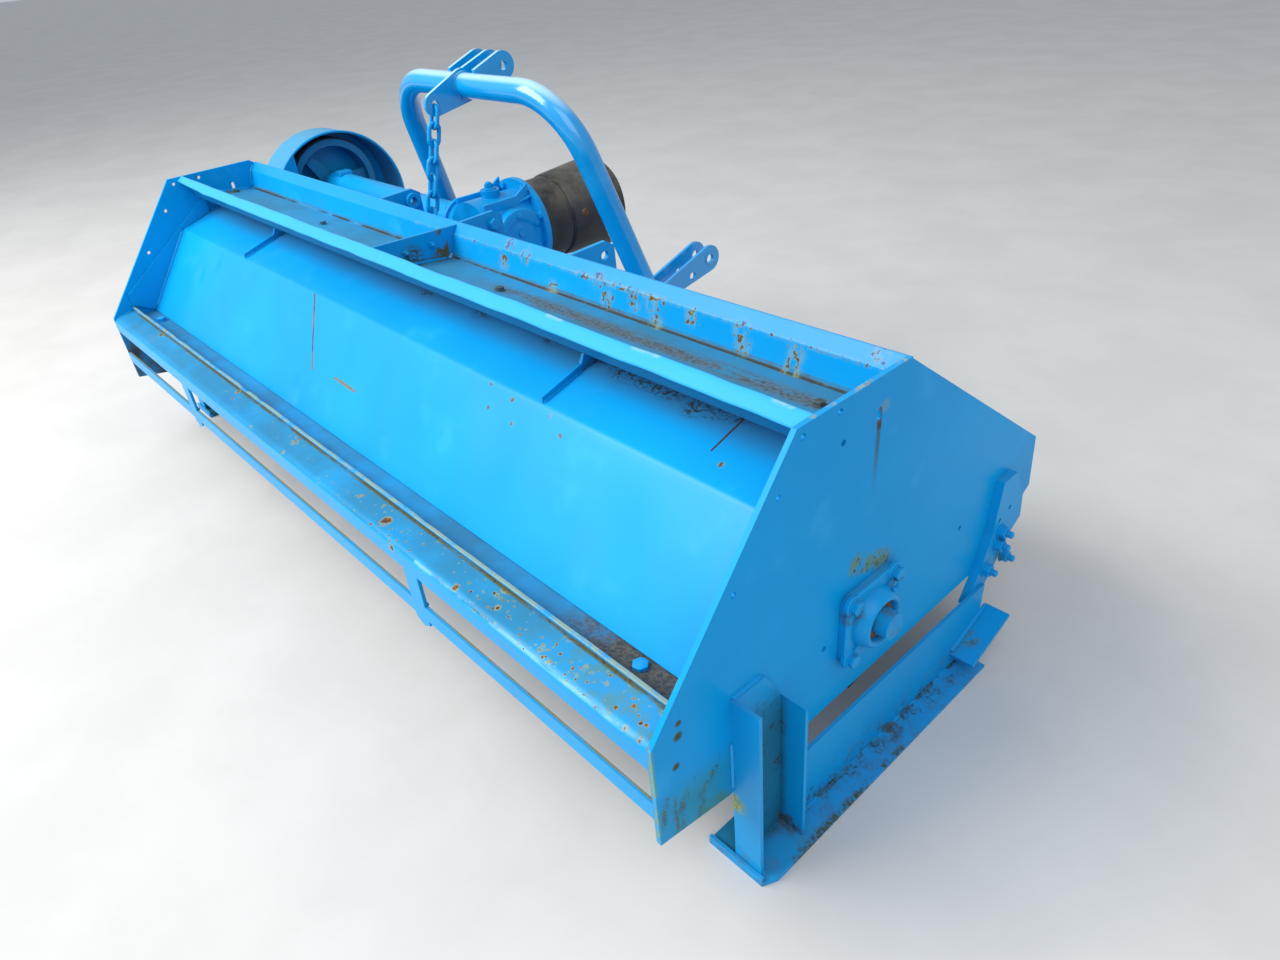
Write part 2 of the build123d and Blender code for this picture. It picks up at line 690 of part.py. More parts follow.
# Cradle plates between the gearbox and the hood's front slope
CRADLE_X = (-90, 90)
CRADLE_REAR_Y = CASE_REAR_Y + 12
CRADLE_FRONT_Y = CASE_FRONT_Y - 12
CRADLE_TOP_Z = SHAFT_Z - CASE_LOW
with BuildPart() as gearbox_cradle:
    for x in CRADLE_X:
        with BuildSketch(Plane.YZ.offset(HITCH_X + x - RIB / 2)):
            with BuildLine():
                Polyline(
                    *side(
                        [
                            (
                                CRADLE_REAR_Y,
                                along(SKIN_RIDGE, SKIN_FRONT, CRADLE_REAR_Y) + WELD,
                            ),
                            (CRADLE_REAR_Y, CRADLE_TOP_Z),
                            (CRADLE_FRONT_Y, CRADLE_TOP_Z),
                            (
                                CRADLE_FRONT_Y,
                                along(SKIN_RIDGE, SKIN_FRONT, CRADLE_FRONT_Y) + WELD,
                            ),
                        ]
                    ),
                    close=True,
                )
            make_face()
        extrude(amount=RIB)
finish(gearbox_cradle, "gearbox_cradle")


# Input shaft with six splines, inside the rubber shield
input_plane = case_plane.offset(CASE_LENGTH + FLANGE_T)
SPLINE_START = 14
SPLINE_DEPTH = 2.5
SPLINE_GROOVE = 9.6
with BuildPart() as input_shaft:
    with BuildSketch(input_plane.offset(-STUB_IN)):
        Circle(STUB_R)
    extrude(amount=STUB_IN + STUB_LENGTH)
    with BuildSketch(input_plane.offset(SPLINE_START)):
        with PolarLocations(STUB_R, SPLINES):
            Rectangle(2 * SPLINE_DEPTH, SPLINE_GROOVE)
    extrude(amount=STUB_LENGTH - SPLINE_START, mode=Mode.SUBTRACT)
finish(input_shaft, "input_shaft")

SHIELD_REAR_R = 126
SHIELD_FRONT_R = 150
SHIELD_WALL = 6
SHIELD_LENGTH = 312
SHIELD_STEP = 118
with BuildPart() as input_shield:
    with BuildSketch(Plane(origin=input_plane.origin, x_dir=(1, 0, 0), z_dir=(0, 0, 1))):
        with BuildLine():
            Polyline(
                (SHIELD_REAR_R - SHIELD_WALL, 0),
                (SHIELD_REAR_R, 0),
                (SHIELD_REAR_R + 3, SHIELD_STEP),
                (SHIELD_REAR_R + 9, SHIELD_STEP + 4),
                (SHIELD_FRONT_R, SHIELD_LENGTH),
                (SHIELD_FRONT_R - SHIELD_WALL, SHIELD_LENGTH),
                (SHIELD_REAR_R + 9 - SHIELD_WALL, SHIELD_STEP + 4),
                (SHIELD_REAR_R + 3 - SHIELD_WALL, SHIELD_STEP),
                close=True,
            )
        make_face()
    revolve(axis=Axis(tuple(input_plane.origin), (0, 1, 0)))
finish(input_shield, "input_shield")


# Belt guard: a band round both pulleys, a closed cover and a part wall behind the upper pulley
GUARD_Y = 960
GUARD_Z = 630
GUARD_R = 270
GUARD_LOW_R = 165
CAP_R = 62
PART_WALL_FRONT_Y = SHAFT_Y - 160  # front and lower edges of the part wall behind the upper pulley
PART_WALL_LOW_Z = ROTOR_Z + 210
GUARD_SPAN = 4 * GUARD_R  # longer than the guard, for the boxes that cut its wall


def guard_hull(shrink):
    """Outline of the guard, shrunk by the given wall."""
    with Locations((REAR + GUARD_Y, GUARD_Z)):
        Circle(GUARD_R - shrink)
    with Locations((REAR + ROTOR_Y, ROTOR_Z)):
        Circle(GUARD_LOW_R - shrink)
    make_hull()


with BuildPart() as belt_guard:
    with BuildSketch(Plane.YZ.offset(LEFT - GUARD_W)):
        guard_hull(0)
        with BuildSketch(mode=Mode.SUBTRACT):
            guard_hull(GUARD_SHEET)
    extrude(amount=GUARD_W)
    with BuildSketch(Plane.YZ.offset(LEFT - GUARD_W - GUARD_SHEET)):
        guard_hull(0)
    extrude(amount=GUARD_SHEET)
    with BuildSketch(Plane.YZ.offset(LEFT - GUARD_W - GUARD_SHEET)):
        with Locations((REAR + SHAFT_Y, SHAFT_Z)):
            Circle(CAP_R)
    extrude(amount=-GUARD_CAP, taper=20)
    with BuildSketch(Plane.YZ.offset(LEFT - GUARD_SHEET)):
        guard_hull(0)
        with Locations((REAR + PART_WALL_FRONT_Y + GUARD_SPAN / 2, SHAFT_Z)):
            Rectangle(GUARD_SPAN, GUARD_SPAN, mode=Mode.SUBTRACT)
        with Locations((REAR + ROTOR_Y, PART_WALL_LOW_Z - GUARD_SPAN / 2)):
            Rectangle(GUARD_SPAN, GUARD_SPAN, mode=Mode.SUBTRACT)
    extrude(amount=GUARD_SHEET)
finish(belt_guard, "belt_guard")


# Arch of the hitch: two bent tubes that meet on a middle plate
LEAN_COS = cos(atan(MAST_LEAN))
MAST_FOOT_Z = BEAM_TOP_Z + WELD
MAST_FOOT_HALF = LOWER_SPREAD / 2 + LOWER_GAP / 2 + LOWER_T + MAST_FOOT_GAP + MAST_R
MID_PLATE_X = HITCH_X - TOP_GAP / 2 - HITCH_PLATE
mast_plane = Plane(
    origin=(HITCH_X, REAR + MAST_TOP_Y, MAST_TOP_Z),
    x_dir=(1, 0, 0),
    z_dir=(0, -LEAN_COS, -MAST_LEAN * LEAN_COS),
)
MAST_SPLAY = (MAST_FOOT_HALF - MAST_TOP_HALF) / (MAST_TOP_Z - MAST_FOOT_Z)
LEG_DROP = MAST_TOP_Z - MAST_FOOT_Z + MAST_R + 5  # long enough to be cut level at the beam
for name, inner_x, mirrored in (
    ("mast_tube_left", HITCH_X - MID_PLATE_X, True),
    ("mast_tube_right", MID_PLATE_X + HITCH_PLATE - HITCH_X, False),
):
    with BuildPart() as mast_tube:
        with BuildLine(mast_plane) as route:
            FilletPolyline(
                (inner_x, 0),
                (MAST_TOP_HALF, 0),
                (MAST_TOP_HALF + MAST_SPLAY * LEG_DROP, -LEG_DROP / LEAN_COS),
                radius=MAST_BEND_R,
            )
        with BuildSketch(Plane(origin=route.line @ 0, z_dir=route.line % 0)):
            Circle(MAST_R)
        sweep()
        split(bisect_by=Plane.XY.offset(MAST_FOOT_Z), keep=Keep.TOP)
        if mirrored:
            mirror(about=Plane.YZ.offset(HITCH_X), mode=Mode.REPLACE)
    finish(mast_tube, name)

# Middle plate: the chain's lug behind the arch, one cheek of the top-link clevis before it
CHAIN_HOLE = (843, 1098)
CHAIN_HOLE_R = 11.5
CHAIN_LUG_R = 33
TOP_EYE_R = 40
TOP_PIN = (TOP_PIN_Y, TOP_PIN_Z)
MAST_TOP = (MAST_TOP_Y, MAST_TOP_Z)
with BuildPart() as mast_plate:
    with BuildSketch(Plane.YZ.offset(MID_PLATE_X)):
        with Locations(*side([CHAIN_HOLE])):
            Circle(CHAIN_LUG_R)
        with Locations(*side([MAST_TOP])):
            Circle(MAST_R + 12)
        make_hull()
        with BuildSketch(mode=Mode.ADD):
            with Locations(*side([MAST_TOP])):
                Circle(MAST_R + 8)
            with Locations(*side([TOP_PIN])):
                Circle(TOP_EYE_R)
            make_hull()
        with Locations(*side([CHAIN_HOLE])):
            Circle(CHAIN_HOLE_R, mode=Mode.SUBTRACT)
        with Locations(*side([TOP_PIN])):
            Circle(TOP_PIN_R, mode=Mode.SUBTRACT)
    extrude(amount=HITCH_PLATE)
finish(mast_plate, "mast_plate")

TOP_CHEEK_X = (
    HITCH_X + TOP_GAP / 2,
    MID_PLATE_X - TOP_GAP - HITCH_PLATE,
)
CHEEK_CUT = 160  # side of the squares that leave the cheeks only before and above the tube
with BuildPart() as top_link_cheeks:
    for x_low in TOP_CHEEK_X:
        with BuildSketch(Plane.YZ.offset(x_low)):
            with Locations(*side([MAST_TOP])):
                Circle(MAST_R + 6)
            with Locations(*side([TOP_PIN])):
                Circle(TOP_EYE_R)
            make_hull()
            with Locations(*side([MAST_TOP])):
                Circle(MAST_R + WELD, mode=Mode.SUBTRACT)
            with Locations(*side([TOP_PIN])):
                Circle(TOP_PIN_R, mode=Mode.SUBTRACT)
            with Locations((REAR + MAST_TOP_Y - CHEEK_CUT / 2, MAST_TOP_Z)):
                Rectangle(CHEEK_CUT, 2 * CHEEK_CUT, mode=Mode.SUBTRACT)
            with Locations((REAR + MAST_TOP_Y, MAST_TOP_Z - CHEEK_CUT / 2)):
                Rectangle(CHEEK_CUT, CHEEK_CUT, mode=Mode.SUBTRACT)
        extrude(amount=HITCH_PLATE)
finish(top_link_cheeks, "top_link_cheeks")

# Lower-link clevises: two plates each, on the front beam beside the arch's feet
LOWER_PIN = (LOWER_PIN_Y, LOWER_PIN_Z)
BEAM_FRONT_Y = BEAM_Y + BEAM
ARM_REACH = LOWER_PIN_Y - BEAM_FRONT_Y
SPARE_HOLE = (BEAM_FRONT_Y + 0.68 * ARM_REACH, LOWER_PIN_Z - 34)
SPARE_HOLE_R = 12
LOWER_ARM = [
    (BEAM_Y + 20, BEAM_TOP_Z + WELD),
    (BEAM_Y + 20, BEAM_TOP_Z + 66),
    (BEAM_FRONT_Y + 0.24 * ARM_REACH, BEAM_TOP_Z + 84),
    (LOWER_PIN_Y - LOWER_EYE_R / 3, LOWER_PIN_Z + LOWER_EYE_R - 2),
    (LOWER_PIN_Y + LOWER_EYE_R / 3, LOWER_PIN_Z - LOWER_EYE_R + 2),
    (BEAM_FRONT_Y + 0.49 * ARM_REACH, LOWER_PIN_Z - 65),
    (BEAM_FRONT_Y + 34, BEAM_TOP_Z - BEAM + 6),
    (BEAM_FRONT_Y + WELD, BEAM_TOP_Z - BEAM + 6),
    (BEAM_FRONT_Y + WELD, BEAM_TOP_Z + WELD),
]
for name, way in (("lower_clevis_left", -1), ("lower_clevis_right", 1)):
    with BuildPart() as lower_clevis:
        for shift in (-LOWER_GAP / 2 - LOWER_T, LOWER_GAP / 2):
            with BuildSketch(Plane.YZ.offset(HITCH_X + way * LOWER_SPREAD / 2 + shift)):
                with BuildLine():
                    Polyline(*side(LOWER_ARM), close=True)
                make_face()
                with Locations(*side([LOWER_PIN])):
                    Circle(LOWER_EYE_R)
                with Locations(*side([LOWER_PIN])):
                    Circle(LOWER_PIN_R, mode=Mode.SUBTRACT)
                with Locations(*side([SPARE_HOLE])):
                    Circle(SPARE_HOLE_R, mode=Mode.SUBTRACT)
            extrude(amount=LOWER_T)
    finish(lower_clevis, name)


# Stay chain from the arch down to a lug on the hood
ANCHOR_HOLE = (762, 800)
LINK_WIRE = 13
LINK_INNER_W = 19
LINKS = 6
LINK_GAP = 0.3
CHAIN_X = MID_PLATE_X + HITCH_PLATE / 2


def inset(across):
    """How far a flat of that width stands off the bottom of a link's inner arc."""
    return LINK_INNER_W / 2 - sqrt((LINK_INNER_W / 2) ** 2 - (across / 2) ** 2)


chain_run = hypot(CHAIN_HOLE[0] - ANCHOR_HOLE[0], CHAIN_HOLE[1] - ANCHOR_HOLE[1])
HOLE_HALF = sqrt(CHAIN_HOLE_R**2 - (LINK_WIRE / 2) ** 2)
WIRE_PLAY = HOLE_HALF - LINK_WIRE / 2 - inset(HITCH_PLATE) - LINK_GAP
LINK_SEAT = 2 * inset(LINK_WIRE) + LINK_GAP
LINK_PITCH = (chain_run - 2 * WIRE_PLAY - LINK_WIRE - LINK_SEAT) / LINKS
LINK_INNER = LINK_PITCH + LINK_SEAT
FIRST_LINK = WIRE_PLAY + LINK_WIRE / 2 + LINK_INNER / 2
chain_down = Vector(
    0,
    (ANCHOR_HOLE[0] - CHAIN_HOLE[0]) / chain_run,
    (ANCHOR_HOLE[1] - CHAIN_HOLE[1]) / chain_run,
)
chain_top = Vector(CHAIN_X, REAR + CHAIN_HOLE[0], CHAIN_HOLE[1])
with BuildPart() as stay_chain:
    for i in range(LINKS):
        middle = chain_top + chain_down * (FIRST_LINK + i * LINK_PITCH)
        across = Vector(1, 0, 0) if i % 2 == 0 else Vector(1, 0, 0).cross(chain_down)
        link_plane = Plane(origin=middle, x_dir=chain_down, z_dir=chain_down.cross(across))
        with BuildSketch(link_plane.offset(-LINK_WIRE / 2)):
            SlotOverall(LINK_INNER + 2 * LINK_WIRE, LINK_INNER_W + 2 * LINK_WIRE)
            SlotOverall(LINK_INNER, LINK_INNER_W, mode=Mode.SUBTRACT)
        extrude(amount=LINK_WIRE)
finish(stay_chain, "stay_chain")

ANCHOR_R = 24
ANCHOR_T = 8
ANCHOR_LENGTH = 200
anchor_plane = Plane(
    origin=(CHAIN_X, REAR + ANCHOR_HOLE[0], ANCHOR_HOLE[1]),
    x_dir=(1, 0, 0),
    z_dir=Vector(1, 0, 0).cross(chain_down),
)
slope_plane = Plane(
    origin=(CHAIN_X, REAR + SKIN_RIDGE[0], SKIN_RIDGE[1]),
    x_dir=(1, 0, 0),
    z_dir=(0, SKIN_RIDGE[1] - SKIN_FRONT[1], SKIN_FRONT[0] - SKIN_RIDGE[0]),
)
with BuildPart() as chain_anchor:
    with BuildSketch(anchor_plane.offset(-ANCHOR_T / 2)):
        Circle(ANCHOR_R)
        with Locations((0, ANCHOR_LENGTH / 2)):
            Rectangle(2 * ANCHOR_R, ANCHOR_LENGTH)
        Circle(CHAIN_HOLE_R, mode=Mode.SUBTRACT)
    extrude(amount=ANCHOR_T)
    split(bisect_by=slope_plane.offset(WELD), keep=Keep.TOP)
finish(chain_anchor, "chain_anchor")


# Skids: an angle runner with a foot plate and a raised toe, a rear channel post, a front bracket
POST_REAR_Y = 175
POST_WIDTH = 128
POST_SLOPE_Y = 253
FOOT_IN = 60
FOOT_CUT_X = 14
FOOT_CUT_Y = 30
FOOT_FRONT_Y = 300
TOE = [(868, 50), (1015, 105)]
TOE_T = 9
BRACKET = [
    (930, RUNNER_LEG - 30),
    (985, RUNNER_LEG - 34),
    (1044, 205),
    (1090, 262),
    (1133, 288),
    (1127, 349),
    (1080, POST_TOP_Z),
    (1024, POST_TOP_Z),
    (1005, 300),
    (975, 225),
]
BRACKET_HOLES = [(1070, 345), (1030, 330)]
# Each side: name, outer face of its end plate, outward direction, top of its front bracket
SKID_SIDES = (
    ("left", LEFT, -1, 340),
    ("right", RIGHT, 1, POST_TOP_Z),
)
for side_name, x_face, way, bracket_top in SKID_SIDES:
    leg_x = x_face + way * RUNNER_IN
    toe_width = SKID_OUT - RUNNER_IN - RUNNER_T
    lip_out = SKID_OUT - FOOT_CUT_X
    with BuildPart() as skid_runner:
        with BuildSketch(Plane.YZ.offset(leg_x)):
            with BuildLine():
                Polyline(
                    *side(
                        [
                            (POST_REAR_Y + POST_WIDTH + WELD, 0),
                            (POST_REAR_Y + POST_WIDTH + WELD, RUNNER_LEG),
                            (RUNNER_FRONT_Y + 60, RUNNER_LEG),
                            (RUNNER_FRONT_Y + 55, TOE[1][1] - 20),
                            (RUNNER_FRONT_Y, 0),
                        ]
                    ),
                    close=True,
                )
            make_face()
        extrude(amount=way * RUNNER_T)
        with BuildSketch(Plane.XY):
            with BuildLine():
                Polyline(
                    (x_face - way * FOOT_IN, REAR + RUNNER_REAR_Y),
                    (x_face + way * (SKID_OUT - FOOT_CUT_X), REAR + RUNNER_REAR_Y),
                    (x_face + way * SKID_OUT, REAR + RUNNER_REAR_Y + FOOT_CUT_Y),
                    (x_face + way * SKID_OUT, REAR + FOOT_FRONT_Y),
                    (x_face - way * FOOT_IN, REAR + FOOT_FRONT_Y),
                    close=True,
                )
            make_face()
        extrude(amount=FOOT_T)
        with BuildSketch(Plane.XY):
            with Locations(
                (x_face + way * (lip_out - FOOT_IN) / 2, REAR + RUNNER_REAR_Y + FOOT_LIP_T / 2)
            ):
                Rectangle(lip_out + FOOT_IN, FOOT_LIP_T)
        extrude(amount=FOOT_LIP)
        with BuildSketch(Plane.XY):
            with Locations(
                (
                    leg_x + way * (SKID_OUT - RUNNER_IN) / 2,
                    REAR + (FOOT_FRONT_Y + RUNNER_FRONT_Y) / 2,
                )
            ):
                Rectangle(SKID_OUT - RUNNER_IN, RUNNER_FRONT_Y - FOOT_FRONT_Y)
        extrude(amount=RUNNER_T)
        with BuildSketch(Plane.YZ.offset(leg_x + way * RUNNER_T)):
            with BuildLine():
                Polyline(
                    *side(
                        [
                            TOE[0],
                            TOE[1],
                            (TOE[1][0] + 3, TOE[1][1] - TOE_T),
                            (TOE[0][0] + 3, TOE[0][1] - TOE_T),
                        ]
                    ),
                    close=True,
                )
            make_face()
        extrude(amount=way * toe_width)
    finish(skid_runner, f"skid_runner_{side_name}")

    with BuildPart() as skid_post:
        with BuildSketch(Plane.YZ.offset(x_face)):
            with BuildLine():
                Polyline(
                    *side(
                        [
                            (POST_REAR_Y, FOOT_T + WELD),
                            (POST_REAR_Y, POST_TOP_Z),
                            (POST_SLOPE_Y, POST_TOP_Z),
                            (POST_REAR_Y + POST_WIDTH, POST_FRONT_TOP_Z),
                            (POST_REAR_Y + POST_WIDTH, FOOT_T + WELD),
                        ]
                    ),
                    close=True,
                )
            make_face()
        extrude(amount=way * POST_DEPTH)
        with BuildSketch(Plane.XY):
            with Locations(
                (x_face + way * (POST_DEPTH / 2 + RUNNER_T), REAR + POST_REAR_Y + POST_WIDTH / 2)
            ):
                Rectangle(POST_DEPTH, POST_WIDTH - 2 * RUNNER_T)
        extrude(amount=POST_TOP_Z, mode=Mode.SUBTRACT)
    finish(skid_post, f"skid_post_{side_name}")

    with BuildPart() as skid_bracket:
        with BuildSketch(Plane.YZ.offset(x_face)):
            with BuildLine():
                Polyline(*side(BRACKET), close=True)
            make_face()
            with Locations(*side(BRACKET_HOLES)):
                Circle(PLATE_HOLE_R, mode=Mode.SUBTRACT)
        extrude(amount=way * (RUNNER_IN - WELD))
        split(bisect_by=Plane.XY.offset(bracket_top), keep=Keep.BOTTOM)
    finish(skid_bracket, f"skid_bracket_{side_name}")
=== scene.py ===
"""Dresses the tractor mulcher's frame as a weathered blue machine on its two skids."""

import json
import math
import random

import bmesh
import bpy
from mathutils import Matrix, Vector


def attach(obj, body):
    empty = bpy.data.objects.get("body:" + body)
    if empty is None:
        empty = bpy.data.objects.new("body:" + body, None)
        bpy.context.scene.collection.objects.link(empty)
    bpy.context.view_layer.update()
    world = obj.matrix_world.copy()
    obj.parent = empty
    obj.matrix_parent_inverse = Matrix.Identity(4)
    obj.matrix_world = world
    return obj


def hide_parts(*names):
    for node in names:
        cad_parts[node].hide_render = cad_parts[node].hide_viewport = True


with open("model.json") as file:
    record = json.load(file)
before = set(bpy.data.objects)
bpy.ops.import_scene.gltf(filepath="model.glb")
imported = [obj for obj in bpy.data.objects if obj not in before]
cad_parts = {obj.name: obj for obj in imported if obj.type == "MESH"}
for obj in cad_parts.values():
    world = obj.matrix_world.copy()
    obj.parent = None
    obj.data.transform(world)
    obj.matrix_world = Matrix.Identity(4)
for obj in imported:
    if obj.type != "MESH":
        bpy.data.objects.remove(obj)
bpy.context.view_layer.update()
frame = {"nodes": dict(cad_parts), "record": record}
draw = random.Random(415)

# Driving sizes in metres. x runs from the hood's middle, y from the end plates' rear edge and
# z from the ground, and at() turns such a place into the part's own frame.
HOOD_X = 0.04
REAR = -0.737
HALF = 1.4
PLATE = 0.01
INNER = HALF - PLATE
SHEET = 0.006
HITCH = -0.3
ROTOR = (0.55, 0.375)
CROSS = (0.966, 0.695)

# Corners of the side view, as (y, z)
SKIN = [(0.142, 0.45), (0.328, 0.696), (0.59, 0.772), (1.0777, 0.416)]
TRAY = [(0.36, 0.852), (0.391, 0.871), (0.411, 0.799), (0.616, 0.773), (0.629, 0.834)]
TRAY += [(0.651, 0.86)]
LEDGE = [(0.0, 0.41), (0.0, 0.458), (0.072, 0.469)]

# Straight parts of the side view, from corner to corner
STRAIGHTS = {"ridge": SKIN[1:3], "front": SKIN[2:4], "floor": TRAY[2:4], "ledge": LEDGE[1:3]}

SIDES = (-1, 1)
LEFT = (-1, 0, 0)
RIGHT = (1, 0, 0)
FRONT = (0, 1, 0)
UP = (0, 0, 1)


def at(x, y, z):
    return Vector((HOOD_X + x, REAR + y, z))


def along(a, b, y):
    """Height at y of the straight side-view line from a to b."""
    return a[1] + (b[1] - a[1]) * (y - a[0]) / (b[0] - a[0])


def round_side(x, centre, radius, a):
    """Place on a circle that is drawn in the side view."""
    return at(x, centre[0] + radius * math.cos(a), centre[1] + radius * math.sin(a))


def round_input(y, radius, a):
    """Place on a circle round the input shaft."""
    return at(HITCH + radius * math.cos(a), y, CROSS[1] + radius * math.sin(a))


def turns(count, start=0.0):
    """Angles at equal steps round a full turn."""
    return [start + 2 * math.pi * i / count for i in range(count)]


# Camera, solved from the photograph's straight edges
camera_data = bpy.data.cameras.new("camera")
camera_data.sensor_width = 36
camera_data.lens = 24.47
camera_data.clip_end = 200
camera = bpy.data.objects.new("camera", camera_data)
bpy.context.collection.objects.link(camera)
right_way = Vector((0.678, 0.73, -0.083)).normalized()
forward_way = Vector((-0.645, 0.537, -0.544))
forward_way = (forward_way - right_way * forward_way.dot(right_way)).normalized()
up_way = right_way.cross(forward_way)
camera.matrix_world = Matrix((right_way, up_way, -forward_way)).transposed().to_4x4()
camera.location = at(2.086, -0.539, 1.512)
bpy.context.scene.camera = camera


# Materials


class Tree:
    """A material's node tree, with short calls for the nodes used here."""

    def __init__(self, name):
        self.material = bpy.data.materials.new(name)
        self.material.use_nodes = True
        self.tree = self.material.node_tree
        self.shader = self.tree.nodes["Principled BSDF"]
        self.where = self.add("ShaderNodeTexCoord").outputs["Object"]
        self.x, self.y, self.z = self.split(self.vector("SUBTRACT", self.where, at(0, 0, 0)))
        normal = self.add("ShaderNodeNewGeometry").outputs["Normal"]
        self.out_x, self.out_y, self.out_z = self.split(normal)
        self.bumped = None

    def add(self, kind, **settings):
        node = self.tree.nodes.new(kind)
        for key, value in settings.items():
            setattr(node, key, value)
        return node

    def put(self, socket, value):
        if isinstance(value, bpy.types.NodeSocket):
            self.tree.links.new(value, socket)
        elif isinstance(value, (tuple, list)) and len(value) == 3 and socket.type == "RGBA":
            socket.default_value = (*value, 1)
        else:
            socket.default_value = value

    def math(self, operation, *values, clamp=False):
        node = self.add("ShaderNodeMath", operation=operation, use_clamp=clamp)
        for socket, value in zip(node.inputs, values):
            self.put(socket, value)
        return node.outputs[0]

    def vector(self, operation, a, b):
        node = self.add("ShaderNodeVectorMath", operation=operation)
        self.put(node.inputs[0], a)
        self.put(node.inputs["Scale" if operation == "SCALE" else 1], b)
        return node.outputs["Value" if operation in ("DISTANCE", "DOT_PRODUCT") else "Vector"]

    def split(self, vector):
        node = self.add("ShaderNodeSeparateXYZ")
        self.put(node.inputs[0], vector)
        return list(node.outputs)

    def chained(self, operation, values):
        result = values[0]
        for value in values[1:]:
            result = self.math(operation, result, value)
        return result

    def times(self, *values):
        return self.chained("MULTIPLY", values)

    def plus(self, *values):
        return self.chained("ADD", values)

    def most(self, *values):
        return self.chained("MAXIMUM", values)

    def noise(self, scale, detail=4.0, rough=0.55, stretch=None, lean=0.0):
        """Noise from 0 to 1, stretched along the axes and leaning in the side view if asked."""
        where = self.where
        if stretch:
            mapping = self.add("ShaderNodeMapping")
            self.put(mapping.inputs["Vector"], where)
            mapping.inputs["Rotation"].default_value = (math.radians(lean), 0, 0)
            mapping.inputs["Scale"].default_value = stretch
            where = mapping.outputs[0]
        node = self.add("ShaderNodeTexNoise")
        settings = {"Vector": where, "Scale": scale, "Detail": detail, "Roughness": rough}
        for socket, value in settings.items():
            self.put(node.inputs[socket], value)
        return node.outputs[0]

    def step(self, value, low, high, to_low=0.0, to_high=1.0):
        node = self.add("ShaderNodeMapRange", interpolation_type="SMOOTHSTEP")
        for socket, number in zip(node.inputs, (value, low, high, to_low, to_high)):
            self.put(socket, number)
        return node.outputs[0]

    def mix(self, share, a, b):
        node = self.add("ShaderNodeMix", data_type="RGBA")
        self.put(node.inputs["Factor"], share)
        self.put(node.inputs[6], a)
        self.put(node.inputs[7], b)
        return node.outputs[2]

    def span(self, value, low, high, fade):
        """1 between two values, fading out over that distance on each side."""
        return self.times(self.step(value, low - fade, low), self.step(value, high + fade, high))

    def above(self, a, b):
        """Height over the side-view line from a to b."""
        slope = (b[1] - a[1]) / (b[0] - a[0])
        line = self.math("MULTIPLY_ADD", self.y, slope, a[1] - slope * a[0])
        return self.math("SUBTRACT", self.z, line)

    def ball(self, x, y, z, reach, core=0.35):
        """1 near a place of the machine, and 0 from that reach on."""
        return self.step(self.vector("DISTANCE", self.where, at(x, y, z)), reach, reach * core)

    def balls(self, places):
        masks = [self.ball(*place) for place in places]
        return self.most(*masks) if masks else 0.0

    def line(self, a, b, reach, core=0.3):
        """1 along the straight line from a to b, and 0 from that reach on."""
        start = at(*a)
        run = at(*b) - start
        offset = self.vector("SUBTRACT", self.where, start)
        dot = self.vector("DOT_PRODUCT", offset, run)
        share = self.math("MULTIPLY", dot, 1 / run.dot(run), clamp=True)
        nearest = self.vector("SCALE", run, share)
        return self.step(self.vector("DISTANCE", offset, nearest), reach, reach * core)

    def seam(self, low, high, place, reach, core=0.3):
        """The same between two x, at one place (y, z) of the side view."""
        return self.line((low, *place), (high, *place), reach, core)

    def stroke(self, x, a, b, reach, core=0.3):
        """The same at one x, between two places (y, z) of the side view."""
        return self.line((x, *a), (x, *b), reach, core)

    def nook(self, reach):
        """Share of the surroundings that is closed off, within that reach."""
        node = self.add("ShaderNodeAmbientOcclusion", samples=2)
        node.inputs["Distance"].default_value = reach
        return self.math("SUBTRACT", 1.0, node.outputs["AO"])

    def bump(self, height, strength, distance):
        node = self.add("ShaderNodeBump")
        self.put(node.inputs["Strength"], strength)
        node.inputs["Distance"].default_value = distance
        self.put(node.inputs["Height"], height)
        if self.bumped is not None:
            self.put(node.inputs["Normal"], self.bumped)
        self.bumped = node.outputs[0]
        self.put(self.shader.inputs["Normal"], self.bumped)

    def finish(self, color, rough, metallic=0.0):
        self.put(self.shader.inputs["Base Color"], color)
        self.put(self.shader.inputs["Roughness"], rough)
        self.put(self.shader.inputs["Metallic"], metallic)
        return self.material


PAINT = (0.0, 0.34, 0.75)
PAINT_DEEP = (0.0, 0.298, 0.69)
PAINT_PALE = (0.05, 0.47, 0.86)
FILM = (0.085, 0.2, 0.27)
GRIME_AND_SHADE = (0.03, 0.04, 0.034)
YELLOW = (0.3, 0.3, 0.1)
OLIVE = (0.055, 0.07, 0.022)
RUST = (0.28, 0.095, 0.022)
RUST_DARK = (0.06, 0.028, 0.016)
DUST = (0.3, 0.26, 0.19)
MUD = (0.105, 0.083, 0.058)
MOSS = (0.13, 0.165, 0.03)


